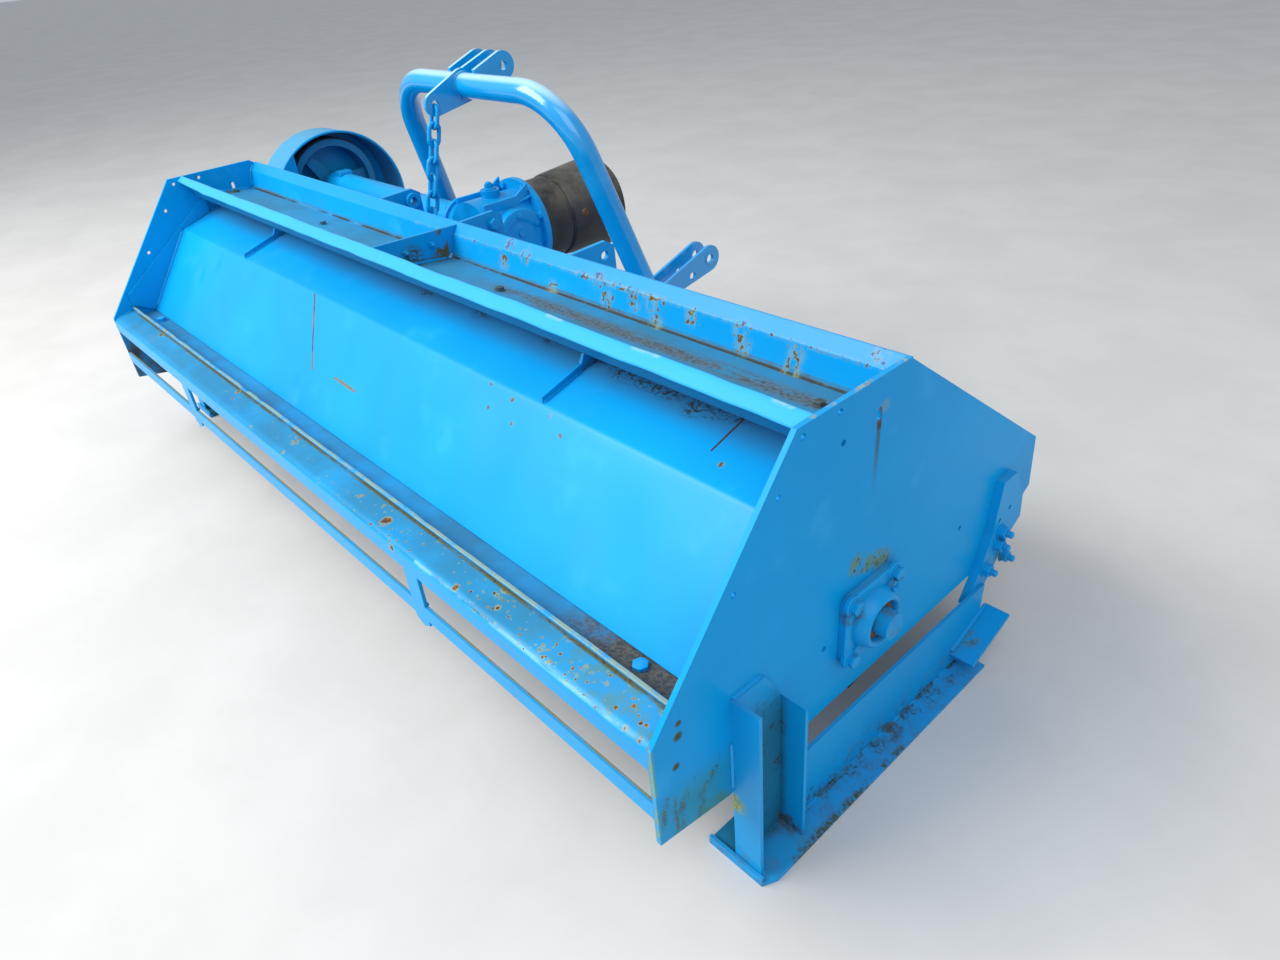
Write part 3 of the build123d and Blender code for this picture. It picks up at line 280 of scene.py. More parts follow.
class Coat(Tree):
    """Blue paint that takes layers of dirt, wear, painted highlight and painted shade, each over
    the ones before.
    """

    def __init__(self, name):
        super().__init__(name)
        self.coarse = self.noise(4.5, 6, 0.62)
        self.middle = self.noise(26, 6, 0.66)
        self.fine = self.noise(120, 5, 0.7)
        self.crumbs = self.grain(0.545, 0.6)
        self.drift = self.noise(24, 6, 0.68, (0.22, 1, 1))
        self.tone = self.mix(self.step(self.noise(1.6, 3), 0.36, 0.66), PAINT_DEEP, PAINT)
        self.dull = 0.0
        self.raised = 0.0

    def cloud(self, *ends):
        """Soft patches, as wide as a hand. ends are the limits of a step."""
        return self.step(self.coarse, *ends)

    def patch(self, *ends):
        """Patches, as wide as a thumb."""
        return self.step(self.middle, *ends)

    def grain(self, *ends):
        """Specks, as wide as a seed."""
        return self.step(self.fine, *ends)

    def strewn(self, *ends):
        """Patches drawn out along the machine."""
        return self.step(self.drift, *ends)

    def over(self, mask, tone, dull=0.0, raised=0.0):
        """Lays a tone over the coat where the mask, one value or a product of some, is 1."""
        if isinstance(mask, tuple):
            mask = self.times(*mask)
        self.tone = self.mix(mask, self.tone, tone)
        if dull:
            self.dull = self.most(self.dull, self.times(mask, dull))
        if raised:
            self.raised = self.most(self.raised, self.times(mask, raised))

    def crumbly(self, mask, tone, crumb_tone, dull=0.0, raised=0.0):
        """The same with crumbs of a second tone."""
        self.over(mask, self.mix(self.crumbs, tone, crumb_tone), dull, raised)

    def spots(self, scale, share, size, halo=0.5):
        """Round rust spots with a yellow halo; share of the cells of 1 / scale metres have one."""
        cells = self.add("ShaderNodeTexVoronoi")
        self.put(cells.inputs["Vector"], self.where)
        cells.inputs["Scale"].default_value = scale
        chance = self.plus(self.split(cells.outputs["Color"])[0], share, -1.0)
        radius = self.math("MINIMUM", self.math("MULTIPLY_ADD", chance, size * 2.2, 0.02), size)
        ragged = self.times(self.plus(self.noise(scale * 3.5, 3, 0.6), -0.5), 0.55)
        edge = self.math("SUBTRACT", self.plus(cells.outputs["Distance"], ragged), radius)
        there = self.step(radius, 0.02, 0.06)
        self.over((self.step(edge, 0.2, 0.02), there, halo), YELLOW)
        rust = self.mix(self.grain(0.42, 0.6), RUST_DARK, RUST)
        self.over((self.step(edge, 0.03, -0.03), there), rust, 1.0, -0.6)


def painted(
    name, rust=0.5, dirt=0.5, rough=0.3, low=0.0, shine=0.24,
    rusty=(), dirty=(), mossy=(), more=None,
):
    """Blue paint with rust spots, dirt and painted shade in the nooks and splashes below the
    height low.

    rusty, dirty and mossy are places (x, y, z, reach) where there is more of each, and more
    lays further layers on the coat.
    """
    t = Coat(name)
    streaks = t.noise(11, 5, 0.6, (1, 1, 0.07))
    upright = t.step(t.out_z, 0.45, 0.15)
    t.over((upright, t.step(streaks, 0.52, 0.74), 0.22 * dirt), FILM)
    t.over((t.step(t.noise(7.0, 5, 0.6), 0.56, 0.76), 0.25), PAINT_PALE)

    # A film on the faces that look up
    flat = t.step(t.out_z, 0.955, 0.985)
    t.over((flat, t.cloud(0.3, 0.66, 0.25, 0.62), dirt), FILM, 1.0)
    if low:
        t.over((t.step(t.z, low, 0.02), t.patch(0.45, 0.64), dirt, 0.7), MUD, 1.0)

    # Dark grime and painted shade in the nooks, where the surroundings close in
    nook = t.times(t.step(t.nook(0.03), 0.35, 0.85), t.patch(0.36, 0.6))
    t.over((nook, min(0.8, dirt)), GRIME_AND_SHADE, 1.0)
    if more:
        more(t)
    if dirty:
        heaps = t.times(t.balls(dirty), t.patch(0.42, 0.58), 0.75)
        t.over(heaps, t.mix(t.grain(0.45, 0.58), GRIME_AND_SHADE, MUD), 1.0, 0.7)
    if mossy:
        green = t.times(t.balls(mossy), t.patch(0.4, 0.56), 0.85)
        t.over(green, t.mix(t.grain(0.42, 0.6), OLIVE, MOSS), 1.0, 1.0)

    # Rust, a little everywhere and more at its places
    t.spots(26, t.plus(0.045 * rust, t.times(t.balls(rusty), 0.5)), 0.3)
    t.spots(80, t.plus(0.05 * rust, t.times(t.balls(rusty), 0.45)), 0.32)

    roughness = t.plus(rough, t.times(t.noise(6, 3), 0.1), t.times(t.dull, 0.42))
    t.shader.inputs["Specular IOR Level"].default_value = shine
    t.bump(t.noise(3.0, 3), 0.3, 0.004)
    t.bump(t.noise(190, 2), 0.08, 0.0006)
    t.bump(t.fine, t.times(t.raised, 0.6), 0.0016)
    return t.finish(t.tone, roughness)


def bare(name, dark, light, rough, metallic=0.0, scale=20.0, rust=0.0, dust=0.0):
    """A bare surface between two tones, with some rust and some dust on top."""
    t = Tree(name)
    tone = t.mix(t.step(t.noise(scale, 6, 0.6), 0.35, 0.65), dark, light)
    rusted = 0.0
    if rust:
        bar = 0.62 - 0.24 * rust
        rusted = t.step(t.noise(17, 7, 0.65), bar, bar + 0.12, 0, min(1.0, rust * 2))
        tone = t.mix(rusted, tone, t.mix(t.noise(60, 3), RUST_DARK, RUST))
    dusty = 0.0
    if dust:
        dusty = t.times(t.step(t.out_z, 0.0, 0.85), t.step(t.noise(9, 7, 0.7), 0.36, 0.64), dust)
        dusty = t.most(dusty, t.times(t.step(t.nook(0.03), 0.35, 0.8), dust * 0.5))
        tone = t.mix(dusty, tone, DUST)
    t.bump(t.noise(scale * 4, 4), 0.25, 0.0012)
    roughness = t.plus(rough, t.times(t.most(rusted, dusty), 0.3))
    return t.finish(tone, roughness, t.times(t.math("SUBTRACT", 1.0, rusted), metallic))


# Rust clusters on the tray's flange, as (x, z)
FLANGE_RUST = [(0.256, 0.849), (0.241, 0.805), (0.33, 0.835), (0.443, 0.78), (0.609, 0.835)]
FLANGE_RUST += [(0.641, 0.798), (0.732, 0.812), (0.786, 0.82), (0.802, 0.782), (0.904, 0.819)]
FLANGE_RUST += [(1.033, 0.826), (1.043, 0.798), (1.17, 0.812), (1.166, 0.782), (1.332, 0.853)]

# Rust marks on the rear facet and rust on the ledge, as (x, y, z, reach)
FACET_RUST = [(0.667, 0.317, 0.682, 0.009), (0.694, 0.29, 0.646, 0.008)]
FACET_RUST += [(0.842, 0.304, 0.664, 0.008), (0.795, 0.321, 0.687, 0.009)]
FACET_RUST += [(0.602, 0.294, 0.651, 0.007), (0.584, 0.324, 0.691, 0.008)]
FACET_RUST += [(1.208, 0.376, 0.71, 0.01)]
BEAM_RUST = [(0.55, 0.0, 0.44, 0.1), (1.1, 0.03, 0.462, 0.06), (-0.357, 0.05, 0.465, 0.05)]
BEAM_RUST += [(-1.05, 0.05, 0.465, 0.07), (0.02, 0.05, 0.465, 0.06)]

# The tray's drain bolts, as (x, y)
TRAY_BOLTS = ((1.289, 0.54), (0.351, 0.529), (-1.34, 0.537), (-0.62, 0.535))


def flange_y(z):
    """Place of the flange's rear face at a height."""
    a, b = TRAY[3:5] if z < TRAY[4][1] else TRAY[4:6]
    return a[0] + (b[0] - a[0]) * (z - a[1]) / (b[1] - a[1])


def inside_dirt(t, mask):
    """Chopped green and dry mud thrown against the inside of the hood."""
    smear = t.step(t.noise(9, 7, 0.7, (0.5, 1, 1)), 0.38, 0.56, 0.25, 0.9)
    t.crumbly((mask, smear), MUD, OLIVE, 1.0, 1.0)


def skin_layers(t):
    """The skin's two facets: a veil of grime and painted shade and dark crumbs under the lip,
    small rust marks, scratches.
    """
    inside_dirt(t, t.step(t.out_z, -0.15, -0.4))
    height = t.above(*STRAIGHTS["ridge"])
    # A veil of grime and painted shade on the upper facet, under the lip's overhang
    facet = t.times(t.span(height, -0.003, 0.008, 0.004), t.step(t.y, 0.4, 0.47))
    facet = t.times(facet, t.step(t.y, 0.62, 0.58), t.cloud(0.25, 0.7, 0.28, 0.46))
    t.over(facet, (0.075, 0.115, 0.125), 0.5)
    dense = t.most(
        t.line((0.84, 0.483, 0.74), (1.0, 0.483, 0.741), 0.042),
        t.line((1.064, 0.464, 0.735), (1.175, 0.498, 0.745), 0.038),
    )
    loose = ((0.603, 0.503, 0.747, 0.055), (0.768, 0.492, 0.744, 0.045))
    loose += ((0.336, 0.497, 0.745, 0.055), (0.088, 0.486, 0.742, 0.045))
    crumbs = t.times(t.most(dense, t.balls(loose)), t.grain(0.475, 0.55), t.patch(0.34, 0.48))
    crumbs = t.times(crumbs, t.step(height, 0.012, 0.006), t.step(t.out_z, 0.2, 0.5))
    t.over(crumbs, (0.03, 0.045, 0.042), 1.0, 1.0)

    mark_tone = t.mix(t.grain(0.46, 0.54), (0.16, 0.3, 0.26), (0.11, 0.075, 0.035))
    t.over((t.balls(FACET_RUST), t.grain(0.36, 0.5)), mark_tone)
    scratch = t.line((-0.294, 0.327, 0.694), (-0.162, 0.213, 0.545), 0.0055, 0.4)
    t.over(scratch, t.mix(t.patch(0.42, 0.54), (0.06, 0.055, 0.045), (0.2, 0.12, 0.05)))
    short = t.line((-0.04, 0.22, 0.554), (0.075, 0.219, 0.552), 0.0055, 0.4)
    t.over((short, t.patch(0.36, 0.5)), (0.2, 0.16, 0.07))
    t.over(t.stroke(1.169, (0.394, 0.715), (0.504, 0.747), 0.0028, 0.5), RUST_DARK)


def tray_layers(t):
    """The tray: film and debris on its floor, a painted highlight on the lip's band and painted
    shade on the wall under it, rust clusters on its flange.
    """
    height = t.above(*STRAIGHTS["floor"])
    tray = t.times(t.span(height, -0.004, 0.01, 0.004), t.span(t.y, 0.408, 0.618, 0.006))
    t.over((tray, t.cloud(0.3, 0.7, 0.3, 0.66)), (0.035, 0.145, 0.205), 1.0)
    middle_row = t.times(t.step(t.y, 0.5, 0.535), t.step(t.y, 0.585, 0.545))
    middle_row = t.times(middle_row, t.step(t.x, 0.15, 0.45), t.strewn(0.36, 0.48), 0.95)
    at_lip = t.times(t.step(t.y, 0.485, 0.425), t.strewn(0.43, 0.6))
    at_flange = t.times(t.step(t.y, 0.602, 0.613), t.strewn(0.5, 0.62), 0.7)
    rows = t.most(at_lip, at_flange, middle_row)
    debris = t.times(tray, rows, t.grain(0.34, 0.56, 0.35, 1.0), 0.9)
    t.crumbly(debris, (0.115, 0.09, 0.052), (0.035, 0.03, 0.022), 1.0, 1.0)
    seam = t.seam(-INNER, INNER, (TRAY[3][0] - 0.001, TRAY[3][1] + 0.002), 0.0052, 0.35)
    t.crumbly((seam, t.strewn(0.34, 0.5)), (0.02, 0.026, 0.024), (0.05, 0.042, 0.026))
    bolts = t.balls([(x, y, along(*STRAIGHTS["floor"], y) + 0.004, 0.02) for x, y in TRAY_BOLTS])
    t.over((bolts, t.patch(0.34, 0.48), 0.9), (0.055, 0.06, 0.035))
    t.over((t.ball(-1.36, 0.5, 0.8, 0.06), t.patch(0.4, 0.54), 0.9), OLIVE)

    # Dirt on the gusset's face and at its foot
    t.over((t.ball(0.006, 0.5, 0.805, 0.045), t.grain(0.42, 0.54), 0.9), OLIVE)
    corner = t.stroke(0.004, (0.585, 0.785), (0.605, 0.85), 0.038)
    t.crumbly((corner, t.patch(0.44, 0.58), t.step(t.y, 0.612, 0.606)), (0.1, 0.095, 0.035), OLIVE)

    # The lip's band with a painted highlight, the wall under it in painted shade, and its folded
    # edge, worn in places
    # Painted highlight: the band is mixed towards a paler blue
    band = t.times(t.span(t.y, 0.352, 0.394, 0.003), t.step(t.above(*TRAY[:2]), -0.004, -0.001))
    t.over((band, 0.55), (0.06, 0.47, 0.86))
    # Painted shade: the rear-facing wall under the overhanging band is darkened
    shaded_wall = t.times(t.step(t.out_y, -0.7, -0.85), t.span(t.y, 0.388, 0.4125, 0.002))
    t.over((shaded_wall, t.span(t.z, 0.795, 0.866, 0.004), 0.7), (0.0, 0.085, 0.2))
    y, z = TRAY[1]
    for low, high in ((0.745, 0.785), (0.995, 1.055), (1.32, 1.35)):
        pale = t.seam(low, high, (y - 0.002, z - 0.001), 0.013, 0.1)
        t.over((pale, t.patch(0.38, 0.56), 0.55), (0.4, 0.58, 0.5))
        edge = t.seam(low, high, (y + 0.001, z), 0.0055, 0.4)
        t.over((edge, t.grain(0.34, 0.48)), (0.27, 0.16, 0.06))

    # Ragged rust in clusters, and a broken row along the flange's bend
    bend = (TRAY[4][0] - 0.001, TRAY[4][1])
    row = t.seam(0.53, 0.82, bend, 0.012)
    thin_row = t.times(t.seam(-0.2, INNER, bend, 0.008), 0.45)
    clusters = t.balls([(x, flange_y(z), z, 0.03) for x, z in FLANGE_RUST])
    behind = t.step(t.out_y, 0.1, -0.1)
    clusters = t.times(t.most(clusters, row, thin_row), t.step(t.y, 0.6, 0.612), behind)
    drips = t.step(t.noise(60, 4, 0.6, (1, 1, 0.25)), 0.42, 0.58)
    t.over((clusters, drips, 0.4), (0.24, 0.4, 0.32))
    level = t.plus(t.noise(85, 4, 0.62), t.times(clusters, 0.08))
    t.over((clusters, t.step(level, 0.565, 0.61), 0.75), (0.26, 0.27, 0.13))
    cores = t.times(t.step(clusters, 0.15, 0.35), t.step(level, 0.625, 0.66))
    t.crumbly(cores, (0.12, 0.075, 0.028), RUST_DARK, 1.0, -0.5)
    t.over((t.step(t.y, 0.6285, 0.632), behind, 0.38), (0.0, 0.24, 0.62))


def beam_layers(t):
    """Ledge, bar, trough and slot bars: rust spots, an olive line, dry dirt, and worn edges with a
    painted highlight on the rear bend.
    """
    ledge = t.times(t.span(t.y, 0.004, 0.07, 0.006), t.span(t.z, 0.452, 0.474, 0.004))
    t.over((ledge, t.step(t.x, 0.9, 1.25), t.patch(0.42, 0.62), 0.55), (0.1, 0.22, 0.13))
    far_part = t.times(ledge, t.step(t.x, 1.35, 0.95))
    t.over((far_part, t.cloud(0.3, 0.62, 0.25, 0.6)), (0.012, 0.13, 0.23))
    near_part = t.step(t.x, -0.2, 1.3)
    for scale, more, some, size in ((34, 0.26, 0.1, 0.34), (95, 0.3, 0.12, 0.36)):
        share = t.times(ledge, t.plus(t.times(near_part, more), some))
        t.spots(scale, share, size, 0.75)
    foot = t.seam(-INNER, INNER, (0.07, 0.47), 0.0065)
    t.crumbly((foot, t.strewn(0.36, 0.54)), (0.085, 0.095, 0.045), RUST_DARK)
    bar_top = t.times(t.step(t.z, 0.4765, 0.4785), t.span(t.y, 0.069, 0.082, 0.002))
    t.over((bar_top, t.patch(0.34, 0.54), 0.75), (0.3, 0.36, 0.2))
    # A pale line along the rear bend: partly worn paint, partly a painted highlight
    bend = t.seam(0.7, INNER, (0.005, 0.453), 0.006)
    t.over((bend, t.strewn(0.4, 0.56), 0.6), (0.25, 0.62, 0.8))

    trough = t.times(t.span(t.y, 0.08, 0.156, 0.002), t.span(t.z, 0.443, 0.461, 0.002))
    t.over((trough, t.cloud(0.3, 0.7, 0.15, 0.5)), GRIME_AND_SHADE)
    filled = t.step(t.plus(t.x, t.times(t.middle, 0.3)), 1.17, 1.32)
    dry = t.mix(t.grain(0.4, 0.6), (0.045, 0.05, 0.052), (0.105, 0.1, 0.09))
    t.over((trough, filled), dry, 1.0, 1.0)
    specks = t.times(trough, t.step(t.y, 0.112, 0.086), t.strewn(0.44, 0.56), t.crumbs)
    t.over(specks, (0.03, 0.026, 0.02), 1.0, 1.0)
    facet_foot = t.seam(0.45, INNER, (0.146, 0.456), 0.008)
    t.crumbly((facet_foot, t.strewn(0.42, 0.56)), YELLOW, RUST)
    bars = t.times(t.span(t.z, 0.327, 0.33, 0.0008), t.span(t.y, 0.0045, 0.01, 0.0012))
    t.crumbly((bars, t.strewn(0.34, 0.5)), (0.2, 0.22, 0.12), (0.28, 0.13, 0.04))


def plate_layers(t):
    """Near end plate: the slot's streak, worn edges, marks and dirt low down at the rear."""
    inner_face = t.step(t.math("ABSOLUTE", t.x), INNER + 0.001, INNER)
    inside_dirt(t, t.times(inner_face, t.step(t.z, 0.44, 0.4)))
    near = t.step(t.x, 1.3985, 1.3995)
    streak = t.stroke(HALF, (0.552, 0.785), (0.549, 0.62), 0.009, 0.2)
    t.over((streak, t.step(t.z, 0.63, 0.76, 0.0, 0.7)), OLIVE)
    under_slot = t.stroke(HALF, (0.552, 0.806), (0.552, 0.776), 0.009, 0.4)
    t.crumbly((under_slot, near, t.grain(0.34, 0.5)), RUST_DARK, RUST)
    t.over((t.ball(HALF, 0.566, 0.808, 0.018), near, t.patch(0.36, 0.54), 0.35), YELLOW)
    top_edge = t.stroke(1.395, (0.38, 0.869), (0.62, 0.869), 0.0075, 0.4)
    t.crumbly((top_edge, t.patch(0.5, 0.62), 0.8), (0.3, 0.34, 0.18), RUST)
    for y, z, reach in ((0.06, 0.474, 0.009), (0.057, 0.447, 0.013), (0.048, 0.384, 0.011)):
        t.over((t.ball(HALF, y, z, reach), near), OLIVE)
    low_corner = t.times(near, t.step(t.y, 0.24, 0.1), t.step(t.z, 0.36, 0.27))
    t.over((low_corner, t.cloud(0.3, 0.62, 0.2, 0.6)), (0.03, 0.19, 0.15))
    streaks = [((0.132, 0.302), (0.097, 0.266), 0.014), ((0.078, 0.319), (0.052, 0.275), 0.014)]
    streaks += [((0.019, 0.326), (0.011, 0.265), 0.012)]
    streaks = t.most(*[t.stroke(HALF, *streak) for streak in streaks])
    slanted = t.noise(34, 6, 0.66, (1, 1, 0.16), -32)
    smears = t.most(t.times(low_corner, t.step(slanted, 0.54, 0.66)), streaks)
    smears = t.times(smears, near, t.step(slanted, 0.44, 0.56), t.grain(0.4, 0.54), 0.85)
    t.crumbly(smears, (0.045, 0.07, 0.035), (0.17, 0.2, 0.09))
    patches = t.balls([(HALF, 0.136, 0.207, 0.035), (HALF, 0.108, 0.214, 0.035)])
    t.over((patches, near, t.patch(0.38, 0.56), 0.7), (0.07, 0.2, 0.1))
    rear_edge = t.stroke(1.396, (0.001, 0.24), (0.001, 0.455), 0.007)
    t.over((rear_edge, t.patch(0.4, 0.54), 0.85), (0.2, 0.33, 0.16))
    corner = t.stroke(1.388, (0.004, 0.459), (0.07, 0.471), 0.008)
    t.over((corner, t.patch(0.34, 0.5)), RUST)
    over_bearing = t.stroke(HALF, (0.515, 0.508), (0.6, 0.47), 0.032)
    t.over((over_bearing, t.patch(0.38, 0.56), near, 0.8), (0.16, 0.24, 0.07))
    t.over((over_bearing, t.patch(0.4, 0.52), t.crumbs, near), RUST_DARK)


def skid_layers(t):
    """Moss and wet dirt in the near skid's post and along its runner."""
    web = t.times(t.step(t.x, 1.43, 1.402), t.span(t.y, 0.18, 0.298, 0.004))
    web = t.times(web, t.step(t.z, 0.43, 0.3))
    t.over((web, t.cloud(0.25, 0.6, 0.35, 0.8)), (0.012, 0.08, 0.08), 0.6)
    t.over((web, t.patch(0.5, 0.62), t.grain(0.45, 0.58)), GRIME_AND_SHADE, 1.0, 0.8)
    moss_tone = t.mix(t.grain(0.42, 0.6), (0.2, 0.26, 0.07), (0.36, 0.42, 0.11))
    t.over((t.ball(1.405, 0.175, 0.175, 0.032), t.patch(0.38, 0.52)), moss_tone, 1.0, 1.0)
    crease = t.stroke(1.429, (0.31, 0.009), (0.9, 0.009), 0.0075, 0.2)
    t.over((crease, t.patch(0.4, 0.54), 0.9), t.mix(t.fine, GRIME_AND_SHADE, OLIVE), 1.0, 0.8)
    specks = t.line((1.429, 0.33, 0.03), (1.44, 0.86, 0.01), 0.04)
    t.over((specks, t.patch(0.46, 0.58), t.grain(0.5, 0.57), 0.85), (0.02, 0.045, 0.045))
    rim = t.stroke(1.482, (0.25, 0.006), (0.6, 0.006), 0.013, 0.2)
    rim_tone = t.mix(t.fine, OLIVE, (0.08, 0.1, 0.04))
    t.over((rim, t.patch(0.42, 0.54), t.grain(0.4, 0.52)), rim_tone, 1.0, 0.8)


def hitch_layers(t):
    """A painted highlight, a pale shine on top of the arch, and dirt where the lower clevis meets
    the beam.
    """
    # Painted highlight: faces that look up on top of the arch are mixed towards pale blue-white
    t.over((t.step(t.out_z, 0.55, 0.92), t.step(t.z, 1.06, 1.1), 0.7), (0.55, 0.84, 0.96))
    t.shader.inputs["Coat Weight"].default_value = 0.7
    t.shader.inputs["Coat Roughness"].default_value = 0.12
    t.over((t.ball(0.14, 1.12, 0.47, 0.06), t.patch(0.42, 0.56), 0.8), GRIME_AND_SHADE)


def pulley_layers(t):
    """The pulleys are painted, darker than the rest with the belts' black dust."""
    t.over(t.cloud(0.3, 0.66, 0.35, 0.6), (0.02, 0.07, 0.12), 0.6)


def guard_layers(t):
    """A dull film on the belt guard's rim, and a scratch on its top."""
    rim = t.step(t.math("ABSOLUTE", t.out_x), 0.6, 0.4)
    t.over((rim, t.cloud(0.3, 0.66, 0.32, 0.6)), (0.12, 0.31, 0.43), 0.7)
    t.over((t.line((-1.45, 1.02, 0.897), (-1.42, 1.03, 0.892), 0.008), t.middle), YELLOW)


# Settings of each paint, for painted()
PAINTS = {
    "hood_paint": dict(rust=0.35),
    "skin_paint": dict(rust=0.35, more=skin_layers),
    "tray_paint": dict(rust=0.35, more=tray_layers),
    "beam_paint": dict(rust=0.35, rusty=BEAM_RUST, more=beam_layers),
    "plate_paint": dict(rust=0.35, dirt=0.25, shine=0.12, more=plate_layers),
    "hitch_paint": dict(rust=0.12, dirt=0.25, rough=0.16, shine=0.55, more=hitch_layers),
    "guard_paint": dict(rust=0.15, dirt=0.4, more=guard_layers),
    "drive_paint": dict(rust=0.3, dirt=0.4),
    "skid_paint": dict(
        rust=0.3,
        dirt=0.4,
        rough=0.34,
        low=0.1,
        dirty=[(1.43, 0.3, 0.03, 0.04), (1.44, 0.62, 0.01, 0.04)],
        mossy=[(1.42, 1.03, 0.21, 0.04), (1.45, 0.93, 0.05, 0.04)],
        more=skid_layers,
    ),
    "gearbox_casting": dict(rust=0.1, dirt=0.22, rough=0.24, shine=0.3),
    "bearing_casting": dict(
        rust=0.25, dirt=0.6, dirty=[(1.42, 0.485, 0.42, 0.035), (1.42, 0.62, 0.42, 0.03)]
    ),
    "chain_steel": dict(),
    "rotor_steel": dict(rust=1.6, dirt=1.0, rough=0.4, low=0.7),
    "pulley_iron": dict(rust=0.3, more=pulley_layers),
}

# Dark and light tone, roughness, metal, scale of the grain, rust and dust of each bare surface
BARES = {
    "shaft_steel": ((0.3, 0.28, 0.26), (0.42, 0.4, 0.37), 0.32, 0.9, 30, 0.25),
    "hammer_steel": ((0.1, 0.07, 0.05), (0.22, 0.17, 0.13), 0.6, 0.6, 25, 0.9, 0.3),
    "belt_rubber": ((0.012, 0.012, 0.012), (0.03, 0.03, 0.03), 0.7, 0, 40, 0, 0.2),
    "shield_rubber": ((0.013, 0.013, 0.014), (0.034, 0.033, 0.036), 0.46, 0, 14, 0, 0.38),
    "curtain_rubber": ((0.014, 0.014, 0.014), (0.04, 0.038, 0.036), 0.6, 0, 12, 0, 0.5),
}
MATERIALS = {name: painted(name, **settings) for name, settings in PAINTS.items()}
MATERIALS.update({name: bare(name, *settings) for name, settings in BARES.items()})
slot_of = {entry["node"]: entry["material_slot"] for entry in frame["record"]["subparts"]}

# Nodes of the hood whose paint carries dirt of their own, by the name without its side
PAINT_OF = {"lip_ribs": "skin_paint", "doubler": "skin_paint", "end_plate": "plate_paint"}
PAINT_OF.update({"tray_gusset": "tray_paint", "rear_bars": "beam_paint"})


# Forms

BEAD_R = 0.0042
RIPPLE = 0.0042
SHARP_ANGLE = 38
NODE_SHARP_ANGLE = 32


def rounded(points, radii, steps=5):
    """A side-view line with its corners turned into arcs, one radius for each corner."""
    result = [Vector(points[0])]
    for before, corner, after, radius in zip(points, points[1:], points[2:], radii):
        corner = Vector(corner)
        back = (Vector(before) - corner).normalized()
        ahead = (Vector(after) - corner).normalized()
        half = back.angle(ahead) / 2
        reach = radius / math.tan(half)
        middle = corner + (back + ahead).normalized() * radius / math.sin(half)
        start = corner + back * reach - middle
        turn = (corner + ahead * reach - middle).angle_signed(start)
        result += [middle + Matrix.Rotation(turn * i / steps, 2) @ start for i in range(steps + 1)]
    return result + [Vector(points[-1])]


def divided(points, pitch):
    """The same line with more points, none further apart than the pitch."""
    result = []
    for a, b in zip(points, points[1:]):
        count = max(1, math.ceil((b - a).length / pitch))
        result += [a.lerp(b, i / count) for i in range(count)]
    return result + [points[-1]]


